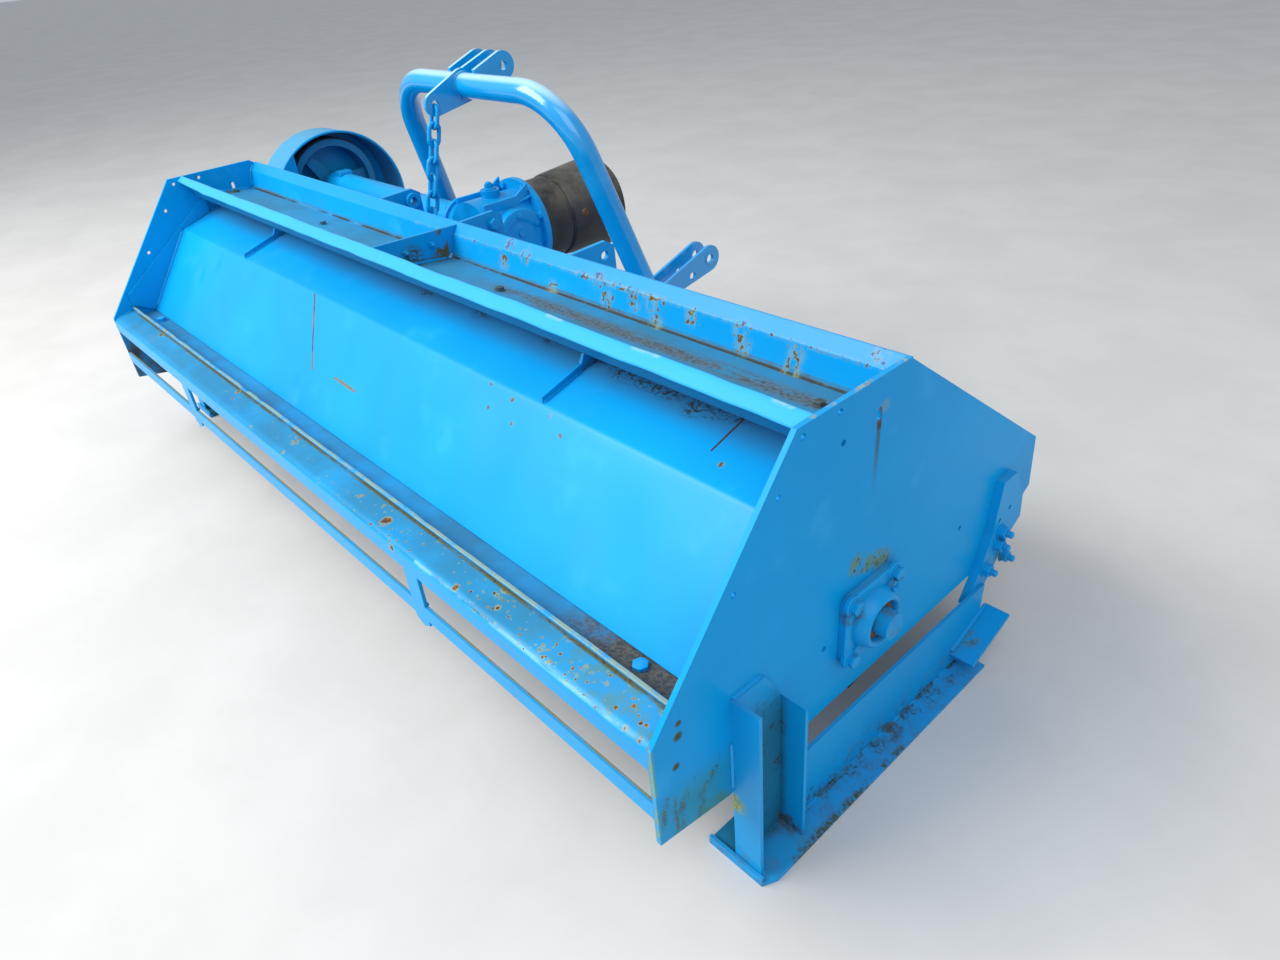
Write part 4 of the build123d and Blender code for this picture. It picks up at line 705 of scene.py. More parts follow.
class Shape:
    """One mesh, put together from lathed, swept, cut and folded forms."""

    def __init__(self):
        self.mesh = bmesh.new()

    def loft(self, rings, closed=False):
        """Skin over a row of rings, capped at its ends unless the row is closed."""
        made = [[self.mesh.verts.new(point) for point in ring] for ring in rings]
        pairs = list(zip(made, made[1:]))
        if closed:
            pairs.append((made[-1], made[0]))
        else:
            self.mesh.faces.new(made[0][::-1])
            self.mesh.faces.new(made[-1])
        for a, b in pairs:
            for i in range(len(a)):
                j = (i + 1) % len(a)
                self.mesh.faces.new((a[i], a[j], b[j], b[i]))

    def lathe(self, place, axis, profile, sides=32, turn=0.0, closed=False):
        """Revolves (radius, height) points round an axis through the place."""
        up = Vector(axis).normalized()
        u = up.orthogonal().normalized()
        v = up.cross(u)
        rings = []
        for radius, height in profile:
            middle = place + up * height
            rings.append(
                [middle + (u * math.cos(a) + v * math.sin(a)) * radius for a in turns(sides, turn)]
            )
        self.loft(rings, closed)

    def plate(self, outline, thickness, place, u, v):
        """Extrudes a flat outline, drawn along u and v from the place, both ways by half."""
        u = Vector(u).normalized()
        v = Vector(v).normalized()
        out = u.cross(v) * thickness / 2
        flat = [place + u * a + v * b for a, b in outline]
        self.loft([[p - out for p in flat], [p + out for p in flat]])

    def sweep(self, route, radius, sides=8, closed=False, vary=None):
        """A tube of round section along a route; vary(i) scales its radius."""
        count = len(route)
        rings = []
        across = None
        for i, point in enumerate(route):
            if closed:
                way = route[(i + 1) % count] - route[i - 1]
            else:
                way = route[min(i + 1, count - 1)] - route[max(i - 1, 0)]
            way.normalize()
            across = way.orthogonal() if across is None else across - way * across.dot(way)
            across.normalize()
            other = way.cross(across)
            r = radius * (vary(i) if vary else 1.0)
            rings.append(
                [point + (across * math.cos(a) + other * math.sin(a)) * r for a in turns(sides)]
            )
        self.loft(rings, closed)

    def bead(self, points, radius=BEAD_R):
        """A weld bead with its ripples along a line."""
        route = divided([Vector(p) for p in points], RIPPLE)
        if len(route) < 3:
            return
        ripple = [1 + draw.uniform(-0.1, 0.14) + 0.13 * (i % 2) for i in range(len(route))]
        ripple[0] = ripple[-1] = 0.5
        self.sweep(route, radius, 6, vary=lambda i: ripple[i])

    def fillet(self, x, places, radius=BEAD_R):
        """A bead along places (y, z) of the side view."""
        self.bead([at(x, y, z) for y, z in places], radius)

    def fillet_on(self, x, straight, ends, lift, radius=BEAD_R):
        """A bead on a straight sheet of the side view, between two y."""
        self.fillet(x, [(y, along(*STRAIGHTS[straight], y) + lift) for y in ends], radius)

    def sheet(self, profile, thickness, low, high, steps, moved):
        """A folded sheet between two x. moved(x, p, normal) gives the shift of p = (y, z)."""
        count = len(profile)
        normals = []
        for i in range(count):
            way = profile[min(i + 1, count - 1)] - profile[max(i - 1, 0)]
            normals.append(Vector((-way.y, way.x)).normalized())
        rings = []
        for k in range(steps + 1):
            x = low + (high - low) * k / steps
            outer = [p + moved(x, p, normal) for p, normal in zip(profile, normals)]
            inner = [face - normal * thickness for face, normal in zip(outer, normals)]
            for end, row, flat in ((-1, outer, inner), (0, inner, outer)):
                way = (profile[-1] - profile[-2]) if end else (profile[0] - profile[1])
                bulge = (row[end] + flat[end]) / 2 + way.normalized() * thickness * 0.42
                row.append(bulge) if end else row.insert(0, bulge)
            rings.append([at(x, p.x, p.y) for p in outer + inner[::-1]])
        self.loft(rings)

    def bar(self, section, low, high, steps):
        """A long bar between two x. section(x) gives its corners in the side view."""
        places = [low + (high - low) * k / steps for k in range(steps + 1)]
        self.loft([[at(x, y, z) for y, z in section(x)] for x in places])

    def bolt(self, place, axis, size=0.006, washer=True, head=1.0):
        """A hexagon head on its washer. size is the thread's radius."""
        low = 0.0
        if washer:
            low = size * 0.32
            r = size * 2.15
            self.lathe(place, axis, [(r, 0), (r, low * 0.8), (r * 0.97, low)], 24)
        r = size * 1.82
        top = low + size * 1.25 * head
        turn = draw.uniform(0, math.pi)
        self.lathe(place, axis, [(r, low), (r, top * 0.9), (r * 0.88, top)], 6, turn)

    def nut(self, place, axis, size=0.006, stub=0.01):
        """A washer, a hexagon nut and the thread that stands out of it."""
        self.bolt(place, axis, size, True, 1.25)
        low = size * 1.85
        rings = [(size * (0.98 if i % 2 else 0.86), low + stub * i / 9) for i in range(9)]
        self.lathe(place, axis, rings + [(size * 0.6, low + stub)], 14)


def soften(item, width):
    """Rounds the edges of a piece or node."""
    mod = item.modifiers.new("edges", "BEVEL")
    mod.width = width
    mod.segments = 2
    mod.limit_method = "ANGLE"
    mod.angle_limit = math.radians(SHARP_ANGLE)
    mod.harden_normals = True


def piece(
    name, shape, slot, body="frame", replaces=(), bevel=0.0, angle=SHARP_ANGLE, paint=None
):
    """Turns a shape into an object that rides on a body, in its slot's material or that paint."""
    mesh = bpy.data.meshes.new(name)
    bmesh.ops.recalc_face_normals(shape.mesh, faces=shape.mesh.faces)
    shape.mesh.to_mesh(mesh)
    shape.mesh.free()
    mesh.shade_smooth()
    mesh.set_sharp_from_angle(angle=math.radians(angle))
    item = bpy.data.objects.new(name, mesh)
    bpy.context.collection.objects.link(item)
    mesh.materials.append(MATERIALS[paint or slot])
    if bevel:
        soften(item, bevel)
    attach(item, body)
    for node in replaces:
        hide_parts(node)


# Width of the rounded edges of the nodes that are kept, by the name without its side
BEVELS = {
    0.001: "tray_gusset lip_ribs doubler curtain_bar",
    0.0012: "end_plate rear_bars belt_guard chain_anchor tube_saddles gearbox_cradle",
    0.0014: "skid_runner skid_post skid_bracket",
    0.0015: "mast_plate top_link_cheeks lower_clevis front_lugs",
    0.002: "rotor_hammers",
    0.004: "gearbox",
}
bevel_of = {kind: width for width, kinds in BEVELS.items() for kind in kinds.split()}
for node_name, node in frame["nodes"].items():
    kind = node_name.removesuffix("_left").removesuffix("_right")
    node.data.materials.clear()
    node.data.materials.append(MATERIALS[PAINT_OF.get(kind, slot_of[node_name])])
    node.data.shade_smooth()
    node.data.set_sharp_from_angle(angle=math.radians(NODE_SHARP_ANGLE))
    if kind in bevel_of:
        soften(node, bevel_of[kind])


# Hood


def hump(distance, reach):
    """1 at no distance, falling smoothly to 0 at the reach."""
    share = min(1.0, abs(distance) / reach)
    return (1 - share * share) ** 2


def waves(x, seed, lengths=(0.83, 0.37, 0.19)):
    """A smooth irregular line between about -1 and 1."""
    return sum(
        math.sin(2 * math.pi * x / length + seed * (i + 1.7)) / (i + 1.4)
        for i, length in enumerate(lengths)
    )


# Small dents in the rear facet, as (x, y)
SKIN_DENTS = ((-1.104, 0.26), (-1.007, 0.301), (-0.869, 0.227), (-0.53, 0.191), (-0.219, 0.168))
SKIN_DENT_DEPTH = 0.004
SKIN_DENT_REACH = 0.045


def skin_moved(x, p, normal):
    """Hand-beaten sheet: shallow waves and dents on the open facets, none at folds and welds."""
    edge = 1 - hump(HALF - abs(x), 0.12)
    rear_facet = hump(p.x - 0.235, 0.085)
    front_facet = hump(p.x - 0.86, 0.2)
    height = rear_facet * 0.0022 * waves(x, 2.0) + front_facet * 0.0016 * waves(x, 5.0)
    for a, b in SKIN_DENTS:
        height -= SKIN_DENT_DEPTH * hump(math.hypot(x - a, (p.x - b) * 1.4), SKIN_DENT_REACH)
    return normal * edge * height


LIP_TAPER = 0.01


def tray_moved(x, p, normal):
    """The folded lip is wavy, and its band grows narrower at the far end."""
    edge, fold, foot = (Vector(corner) for corner in TRAY[:3])
    if p.x > foot.x:
        return Vector((0, 0))
    free = (1 - hump(x, 0.07)) * (1 - hump(HALF - abs(x), 0.1))
    share = max(0.0, (p.y - foot.y) / (fold.y - foot.y)) ** 2
    wavy = (0.001 * waves(x, 4.0, (0.53, 0.29, 0.13)), 0.0012 * waves(x, 1.0, (0.61, 0.23, 0.11)))
    result = Vector(wavy) * free * share
    if p.x < fold.x - 0.004:
        narrow = min(1.0, max(0.0, (-1.12 - x) / 0.27))
        reach = (fold.x - p.x) / (fold.x - edge.x)
        sag = 0.0012 * free * waves(x, 7.0, (0.47, 0.31, 0.17))
        result += (fold - edge).normalized() * reach * (LIP_TAPER * narrow + abs(sag))
    return result


# Dents in the ledge and the bar behind it: place, reach and depth
DENTS = ((-0.357, 0.045, 0.0045), (-0.249, 0.035, 0.0035))
DENTS += ((0.62, 0.05, 0.002), (-0.92, 0.06, 0.0025))


def beam_edge(x, wave):
    """Height of the beam's waves and dents along the hood, nothing at its ends."""
    depth = sum(deep * hump(x - place, reach) for place, reach, deep in DENTS)
    return (1 - hump(HALF - abs(x), 0.08)) * (wave - depth)


def ledge_moved(x, p, normal):
    """Dents in the ledge, and a slight wave along it."""
    if p.y < 0.455:
        return Vector((0, 0))
    return normal * hump(p.x - 0.04, 0.034) * beam_edge(x, 0.0008 * waves(x, 3.0))


def beam_bar(x):
    """The bar on edge in front of the ledge, its top slightly wavy."""
    top = 0.48 + beam_edge(x, 0.0012 * waves(x, 6.0, (0.71, 0.33, 0.12)))
    rear_half = [(0.071, 0.44), (0.071, top - 0.0014), (0.0724, top)]
    return rear_half + [(0.0786, top), (0.08, top - 0.0014), (0.08, 0.44)]


SKIN_STEPS = 220
BEAM_STEPS = 200
hood_skin = Shape()
skin_line = divided(rounded(SKIN, (0.02, 0.02)), 0.014)
hood_skin.sheet(skin_line, SHEET, -INNER, INNER, SKIN_STEPS, skin_moved)
piece("skin_sheet", hood_skin, "hood_paint", replaces=["hood_skin"], paint="skin_paint")

top_tray = Shape()
tray_line = divided(rounded(TRAY, (0.0066, 0.008, 0.008, 0.008)), 0.012)
top_tray.sheet(tray_line, SHEET, -INNER, INNER, BEAM_STEPS, tray_moved)
piece("tray_sheet", top_tray, "hood_paint", replaces=["top_tray"], paint="tray_paint")

rear_beam = Shape()
ledge_line = divided(rounded(LEDGE, (0.018,)), 0.008)
rear_beam.sheet(ledge_line, SHEET, -INNER, INNER, BEAM_STEPS, ledge_moved)
rear_beam.bar(beam_bar, -INNER, INNER, BEAM_STEPS)
trough = [(0.08, 0.44), (0.08, 0.446), (0.15, 0.446), (0.15, 0.44)]
rear_beam.bar(lambda x: trough, -INNER, INNER, 20)
piece("ledge_sheet", rear_beam, "hood_paint", replaces=["rear_beam"], paint="beam_paint")

# Dry dirt that fills the near end of the trough
heap = Shape()
HEAP_STEPS = (60, 12)
HEAP_LOW = 1.02
HEAP_REAR = 0.0805
HEAP_DEPTH = 0.058
rows = []
for i in range(HEAP_STEPS[0] + 1):
    x = HEAP_LOW + (INNER - 0.01 - HEAP_LOW) * i / HEAP_STEPS[0]
    fullness = min(1.0, (x - HEAP_LOW) / 0.22)
    row = []
    for k in range(HEAP_STEPS[1] + 1):
        share = k / HEAP_STEPS[1]
        rise = fullness * (0.0035 + 0.0065 * (1 - share) ** 1.5) + draw.uniform(-0.0009, 0.0013)
        rise *= 1 - hump(x - 1.25, 0.02) * hump(share - 0.62, 0.35)
        row.append(at(x, HEAP_REAR + HEAP_DEPTH * share, 0.4455 + max(0.0, rise)))
    rows.append(row + [at(x, HEAP_REAR + HEAP_DEPTH, 0.4445), at(x, HEAP_REAR, 0.4445)])
heap.loft(rows)
piece("trough_dirt", heap, "hood_paint", angle=70, paint="beam_paint")

# Weld beads along the seams of the hood
welds = Shape()
for way in SIDES:
    x = way * (INNER - 0.0015)
    welds.fillet_on(x, "ridge", (0.33, 0.56), 0.0015)
    welds.fillet_on(x, "front", (0.66, 1.07), 0.0015)
    welds.fillet(x, ((0.396, 0.858), (0.411, 0.806)))
    welds.fillet_on(x, "floor", (0.424, 0.606), 0.0015)
    welds.fillet(x, ((0.615, 0.781), (0.627, 0.832), (0.643, 0.852)))
    welds.fillet(way * (INNER - 0.009), ((0.15, 0.462), (0.322, 0.69)), 0.0045)
    welds.fillet(x, ((0.0085, 0.414), (0.0085, 0.446)), 0.004)
    welds.fillet_on(x, "ledge", (0.016, 0.066), 0.001, 0.0035)
LUGS = (-0.44, 0.0, 0.475)
for lug_x in LUGS:
    for way in SIDES:
        x = lug_x + way * 0.0075
        welds.fillet_on(x, "front", (0.66, 0.79), 0.002)
        welds.fillet(x, ((0.6585, 0.735), (0.6585, 0.85)), 0.0038)
for way in SIDES:
    x = way * 0.0052
    welds.fillet_on(x, "floor", (0.432, 0.596), 0.002, 0.0036)
    for rib_x in (-0.81, 0.755):
        welds.fillet_on(rib_x + x, "ridge", (0.333, 0.44), 0.001, 0.0034)
for x in (-0.708, 0.666):
    for z in (0.289, 0.329, 0.41):
        welds.bead([at(x - 0.026, 0.0095, z), at(x + 0.026, 0.0095, z)], 0.0035)
piece("hood_welds", welds, "hood_paint")

# Fasteners on the hood: the tray's drain bolts, the gusset's bolts and two in the trough
studs = Shape()
TRAY_UP = Vector((0, 0.126, 0.992))
for x, y in TRAY_BOLTS:
    studs.bolt(at(x, y, along(*STRAIGHTS["floor"], y)), TRAY_UP)
for y in (0.48, 0.56):
    studs.bolt(at(-0.004, y, 0.825), LEFT, 0.005)
    studs.nut(at(0.004, y, 0.825), RIGHT, 0.005, 0.006)
studs.bolt(at(1.25, 0.118, 0.447), UP, 0.0085, washer=False)
studs.bolt(at(-1.25, 0.118, 0.446), UP, 0.0085)
piece("hood_studs", studs, "hood_paint", bevel=0.0004, paint="tray_paint")

# Lugs on the front slope: a bolt through the middle one, a boss on the left one
lug_gear = Shape()
LUG_HOLE = (0.758, 0.828)
lug_gear.bolt(at(0.006, *LUG_HOLE), RIGHT, 0.0095)
lug_gear.nut(at(-0.006, *LUG_HOLE), LEFT, 0.0095, 0.012)
boss = [(0.0115, 0.0), (0.024, 0.0), (0.024, 0.01), (0.022, 0.012), (0.0115, 0.012)]
for way in SIDES:
    lug_gear.lathe(at(LUGS[0] + way * 0.006, *LUG_HOLE), (way, 0, 0), boss, closed=True)
piece("lug_gear", lug_gear, "hood_paint", bevel=0.0005)


# Rotor bearings

BEARING_HALF = 0.081
BEARING_CORNER = 0.024
BOLT_HALF_PITCH = 0.065
BEARING_BOSS = [(0.028, 0.006), (0.064, 0.006), (0.0635, 0.024), (0.06, 0.03)]
BEARING_BOSS += [(0.0555, 0.042), (0.052, 0.0455), (0.0465, 0.046), (0.043, 0.043)]
BEARING_BOSS += [(0.041, 0.036), (0.04, 0.031), (0.028, 0.031)]
BEARING_SEAL = [(0.0285, 0.03), (0.0285, 0.036), (0.034, 0.0365), (0.034, 0.033)]
BEARING_SEAL += [(0.0398, 0.0325), (0.0398, 0.03)]
NIPPLE_TIP = [(0.003, 0.006), (0.003, 0.01), (0.0042, 0.0115), (0.0042, 0.014), (0.002, 0.0165)]


def bearing(name, way, node):
    """A square flanged bearing: pads at its corners, a boss, a nipple and four bolts."""
    x = way * HALF
    y, z = ROTOR
    out = (way, 0, 0)
    body = Shape()
    outline = []
    straight = BEARING_HALF - BEARING_CORNER
    for k, (cy, cz) in enumerate(((1, 1), (-1, 1), (-1, -1), (1, -1))):
        for i in range(7):
            a = math.pi / 2 * (k + i / 6)
            u = cy * straight + BEARING_CORNER * math.cos(a)
            outline.append((u, cz * straight + BEARING_CORNER * math.sin(a)))
    rings = []
    for height, shrink in ((0, 0), (0.015, 0), (0.018, 0.003)):
        scale = 1 - shrink / BEARING_HALF
        rings.append([at(x + way * height, y + a * scale, z + b * scale) for a, b in outline])
    body.loft(rings)
    body.lathe(at(x, y, z), out, BEARING_BOSS, 56, closed=True)
    corners = [(cy, cz) for cy in SIDES for cz in SIDES]

    def corner_place(depth, cy, cz):
        return at(depth, y + cy * BOLT_HALF_PITCH, z + cz * BOLT_HALF_PITCH)

    for cy, cz in corners:
        pad = [(0.021, 0), (0.021, 0.0085), (0.019, 0.0105)]
        body.lathe(corner_place(x + way * 0.01, cy, cz), out, pad, 28)
        rib = [(0.03, -0.006), (0.078, -0.006), (0.078, 0.006), (0.03, 0.006)]
        ray = Vector((0, cy, cz)).normalized()
        body.plate(rib, 0.018, at(x + way * 0.015, y, z), ray, ray.cross(out))
    piece(name, body, "bearing_casting", replaces=[node], bevel=0.0012)

    bolts = Shape()
    for cy, cz in corners:
        bolts.bolt(corner_place(x + way * 0.0205, cy, cz), out, 0.008)
        bolts.nut(corner_place(way * INNER, cy, cz), (-way, 0, 0), 0.007, 0.004)
    nipple = at(x + way * 0.033, y + 0.04, z + 0.046)
    nipple_axis = Vector((way * 0.5, 0.65, 0.75))
    bolts.lathe(nipple, nipple_axis, [(0.0055, 0), (0.0055, 0.006), (0.004, 0.007)], 6)
    bolts.lathe(nipple, nipple_axis, NIPPLE_TIP, 14)
    piece(name + "_bolts", bolts, "bearing_casting", bevel=0.0005)

    seal = Shape()
    seal.lathe(at(x, y, z), out, BEARING_SEAL, 48, closed=True)
    piece(name + "_seal", seal, "hammer_steel")


bearing("bearing_near", 1, "bearing_right")
bearing("bearing_far", -1, "bearing_left")


# Chain

CHAIN_X = HITCH - 0.032
LINK_R = 0.0065
LINK_IN_R = 0.0095
LINKS = 6
FIRST_SEAT = 0.0093
LAST_SEAT = 0.0106
chain_top = at(CHAIN_X, 0.843, 1.098)
chain_end = at(CHAIN_X, 0.762, 0.8)
chain_way = (chain_end - chain_top).normalized()
link_inner = ((chain_end - chain_top).length - LAST_SEAT - FIRST_SEAT) / LINKS
bend = LINK_IN_R + LINK_R
straight = link_inner / 2 - LINK_IN_R
chain = Shape()
for i in range(LINKS):
    middle = chain_top + chain_way * (FIRST_SEAT + link_inner * (i + 0.5))
    across = Vector(RIGHT).cross(chain_way) if i % 2 else Vector(RIGHT)
    route = []
    for end in (1, -1):
        for k in range(13):
            a = math.pi * (k / 12 - 0.5)
            ahead = chain_way * end * (straight + bend * math.cos(a))
            route.append(middle + ahead + across * end * bend * math.sin(a))
    chain.sweep(route, LINK_R, 14, closed=True)
piece("chain_links", chain, "chain_steel", replaces=["stay_chain"], angle=60)


# Gearbox and its shield

CASE_FRONT = 1.064
CASE_FLANGE = 1.046
CASE_SIDE = HITCH + 0.127
NECK_END = HITCH - 0.195
gear = Shape()
for a in turns(8, math.pi / 8):
    place = round_input(CASE_FLANGE, 0.136, a)
    if place.z > 0.6:
        gear.bolt(place, (0, -1, 0), 0.0065)
for a in turns(6, math.pi / 6):
    gear.bolt(round_side(CASE_SIDE, CROSS, 0.07, a), RIGHT, 0.0055, False)
filler = at(HITCH, CROSS[0] - 0.01, CROSS[1] + 0.138)
gear.lathe(filler, UP, [(0.022, 0), (0.022, 0.004), (0.014, 0.005), (0.014, 0.016)], 6, 0.3)
gear.lathe(filler, UP, [(0.01, 0.014), (0.01, 0.02), (0.006, 0.023)], 20)
gear.lathe(at(CASE_SIDE, CROSS[0], CROSS[1] + 0.02), RIGHT, [(0.012, 0), (0.012, 0.006)], 6)
piece("gearbox_bolts", gear, "gearbox_casting", bevel=0.0006)

ribs = Shape()
top_rib = [(0, 0.0), (0.12, 0.0), (0.168, 0.03), (0.168, -0.04), (0, -0.04)]
for x in (-0.075, 0.075):
    ribs.plate(top_rib, 0.01, at(HITCH + x, 0.878, CROSS[1] + 0.118), FRONT, UP)
flange_rib = [(0.1, 0.0), (0.142, 0.0), (0.12, -0.06), (0.1, -0.06)]
for a in (0.35, 0.9, 2.25, 2.8):
    ray = Vector((math.cos(a), 0, math.sin(a)))
    ribs.plate(flange_rib, 0.009, at(HITCH, CASE_FLANGE, CROSS[1]), ray, FRONT)
cover = [(0.05, 0), (0.092, 0), (0.092, 0.004), (0.088, 0.007), (0.056, 0.007), (0.05, 0.004)]
ribs.lathe(at(HITCH + 0.122, *CROSS), RIGHT, cover, 48, closed=True)
collar = [(0.07, 0), (0.082, 0), (0.082, 0.014), (0.079, 0.017), (0.07, 0.017)]
ribs.lathe(at(NECK_END, *CROSS), LEFT, collar, 48, closed=True)
piece("gearbox_ribs", ribs, "gearbox_casting", bevel=0.0025)

neck = Shape()
for a in turns(6, 0.2):
    neck.bolt(round_side(NECK_END - 0.017, CROSS, 0.0755, a), LEFT, 0.004, False)
piece("neck_bolts", neck, "gearbox_casting", bevel=0.0004)

# Rubber shield: a short sleeve on the gearbox and a wide bell that laps over it
shield = Shape()
sleeve = [(0.12, 0.0), (0.1265, 0.0), (0.1275, 0.04), (0.1285, 0.124), (0.1225, 0.124)]
bell_outer = [(0.1305, 0.108), (0.1335, 0.114), (0.1345, 0.122), (0.1375, 0.16), (0.141, 0.22)]
bell_outer += [(0.1452, 0.27), (0.1485, 0.3), (0.15, 0.308), (0.1498, 0.312)]
bell_inner = [(r - 0.0055, h) for r, h in bell_outer]
for profile, crumple in ((sleeve, 0.0), (bell_outer + bell_inner[::-1], 1.0)):
    rings = []
    for radius, height in profile:
        ring = []
        for a in turns(72):
            limp = 0.0022 * math.sin(3 * a + 1.0) + 0.001 * math.sin(7 * a + height * 30)
            r = radius + crumple * min(1.0, max(0.0, (height - 0.12) / 0.15)) * limp
            ring.append(round_input(CASE_FRONT + height, r, a))
        rings.append(ring)
    shield.loft(rings, closed=True)
FLAP_ANGLE = math.radians(10)
flap_angles = [FLAP_ANGLE + (k / 8 - 0.5) * 0.34 for k in range(9)]
rows = []
for height in (0.112, 0.13, 0.18, 0.23, 0.262):
    radius = 0.1345 + (height - 0.12) * 0.075
    outer = [round_input(CASE_FRONT + height, radius + 0.0035, a) for a in flap_angles]
    rows.append(outer + [round_input(CASE_FRONT + height, radius, a) for a in flap_angles[::-1]])
shield.loft(rows)
piece("shield_bell", shield, "shield_rubber", replaces=["input_shield"], angle=50)

# Slotted screw that holds the shield's flap
screw = Shape()
screw_angle = FLAP_ANGLE - 0.02
screw_out = Vector((math.cos(screw_angle), 0, math.sin(screw_angle)))
screw_up = screw_out.cross(Vector(FRONT))
screw_at = at(HITCH, CASE_FRONT + 0.15, CROSS[1]) + screw_out * 0.1405
screw.lathe(screw_at, screw_out, [(0.013, -0.004), (0.013, 0.0), (0.0105, 0.002)], 28)
for way in SIDES:
    angles = [math.pi * (k / 12) - math.pi / 2 for k in range(13)]
    half_head = [(way * (0.0012 + 0.0075 * math.cos(a)), 0.0082 * math.sin(a)) for a in angles]
    screw.plate(half_head, 0.005, screw_at + screw_out * 0.004, FRONT, screw_up)
piece("shield_screw", screw, "hammer_steel", bevel=0.0006)


# Belt drive

PULLEY_LOW = -HALF - 0.13
PULLEY_W = 0.08
UPPER_R = 0.173
LOWER_R = 0.125
GROOVES = 4
GROOVE_PITCH = 0.017
GROOVE_START = (PULLEY_W - GROOVES * GROOVE_PITCH) / 2


def pulley(radius, rim_inner, centre, hub_low, hub_high):
    """A pulley's rim with grooves for its belts, and its hub."""
    profile = [(rim_inner, 0.0), (radius, 0.0)]
    for i in range(GROOVES):
        x = GROOVE_START + i * GROOVE_PITCH
        profile += [(radius, x + 0.002), (radius - 0.011, x + 0.0055)]
        profile += [(radius - 0.011, x + 0.0115), (radius, x + 0.015)]
    profile += [(radius, PULLEY_W), (rim_inner, PULLEY_W)]
    shape = Shape()
    place = at(PULLEY_LOW, *centre)
    shape.lathe(place, RIGHT, profile, 72, closed=True)
    (bore, low), (outer, high) = hub_low, hub_high
    hub = [(bore, low), (outer, low), (outer, high), (bore, high)]
    shape.lathe(place, RIGHT, hub, 40, closed=True)
    return shape


upper = pulley(UPPER_R, 0.147, CROSS, (0.0202, 0.002), (0.046, 0.078))
spoke = [(0.042, -0.026), (0.15, -0.018), (0.15, 0.018), (0.042, 0.026)]
for a in turns(3, math.radians(5)):
    ray = Vector((0, math.cos(a), math.sin(a)))
    place = at(PULLEY_LOW + PULLEY_W / 2, *CROSS)
    upper.plate(spoke, 0.026, place, ray, ray.cross(Vector(RIGHT)))
piece("upper_pulley_wheel", upper, "pulley_iron", "cross_drive", ["upper_pulley"], 0.001)

lower = pulley(LOWER_R, 0.06, ROTOR, (0.0277, 0.006), (0.062, 0.074))
for a in turns(4, math.pi / 4):
    lower.bolt(round_side(PULLEY_LOW + 0.006, ROTOR, 0.046, a), LEFT, 0.005, False)
piece("lower_pulley_wheel", lower, "pulley_iron", "rotor", ["lower_pulley"], 0.0008)

belts = Shape()
run = Vector(ROTOR) - Vector(CROSS)
run_angle = math.atan2(run.y, run.x)
lead = math.acos((UPPER_R - LOWER_R) / run.length)
BELT = [(-0.0055, -0.009), (0.0055, -0.009), (0.0085, 0.0035), (0.0075, 0.0048)]
BELT += [(-0.0075, 0.0048), (-0.0085, 0.0035)]
ARCS = [(CROSS, UPPER_R, run_angle + lead, 2 * (math.pi - lead), 40)]
ARCS += [(ROTOR, LOWER_R, run_angle - lead, 2 * lead, 28)]
for i in range(GROOVES):
    x = PULLEY_LOW + GROOVE_START + i * GROOVE_PITCH + 0.0085
    rings = []
    for centre, radius, start, arc, steps in ARCS:
        for k in range(steps + 1):
            a = start + arc * k / steps
            rings.append([round_side(x + u, centre, radius + v, a) for u, v in BELT])
    belts.loft(rings, closed=True)
piece("belt_loops", belts, "belt_rubber", replaces=["drive_belt"])

# Belt guard: fasteners of its cover and the band's weld seam
GUARD = (0.96, 0.63)
GUARD_R = 0.27
GUARD_OUT = -HALF - 0.157
guard_gear = Shape()
for centre, radius, places in (
    (GUARD, 0.246, (-20, 25, 70, 115, 160, 205)),
    (ROTOR, 0.142, (180, 235, 290)),
):
    for degrees in places:
        guard_gear.bolt(round_side(GUARD_OUT, centre, radius, math.radians(degrees)), LEFT, 0.005)
piece("guard_bolts", guard_gear, "guard_paint", bevel=0.0004)
guard_seam = Shape()
angles = [math.radians(-60 + 250 * k / 89) for k in range(90)]
guard_seam.bead([round_side(-HALF - 0.002, GUARD, GUARD_R + 0.0005, a) for a in angles], 0.0035)
piece("guard_seam", guard_seam, "guard_paint")


# Cross tube

tube = Shape()
lower_half = [math.pi + math.pi * k / 39 for k in range(40)]
for saddle_x in (-1.3, -0.76):
    for way in SIDES:
        x = saddle_x + way * 0.006
        tube.bead([round_side(x, CROSS, 0.0565, a) for a in lower_half], 0.0035)
        for y in (CROSS[0] - 0.046, CROSS[0] + 0.046):
            z = along(*STRAIGHTS["front"], y)
            tube.fillet(x, ((y - 0.04, z + 0.031), (y + 0.04, z - 0.027)), 0.0035)
piece("tube_welds", tube, "hood_paint")


# Hitch

BEAM_TOP = 0.462
BEAM_FRONT = 1.179
WELD_Z = BEAM_TOP + 0.001
MAST_TOP = (0.95, 1.132)
CLEVIS = 0.443
hitch_welds = Shape()
for clevis_way in SIDES:
    for cheek in SIDES:
        for way in SIDES:
            x = HITCH + clevis_way * CLEVIS + cheek * 0.032 + way * 0.006
            hitch_welds.fillet(x, ((1.1, WELD_Z), (1.17, WELD_Z)), 0.0045)
            hitch_welds.fillet(x, ((BEAM_FRONT, 0.372), (BEAM_FRONT, 0.452)), 0.0045)
mast_height = MAST_TOP[1] - BEAM_TOP
for way in SIDES:
    foot_x = HITCH + way * (0.426 + 0.157 * mast_height)
    foot = at(foot_x, MAST_TOP[0] + 0.3 * mast_height, BEAM_TOP)
    ring = [foot + Vector((0.0375 * math.cos(a), 0.0385 * math.sin(a), 0.002)) for a in turns(44)]
    hitch_welds.bead(ring + ring[:1], 0.0045)
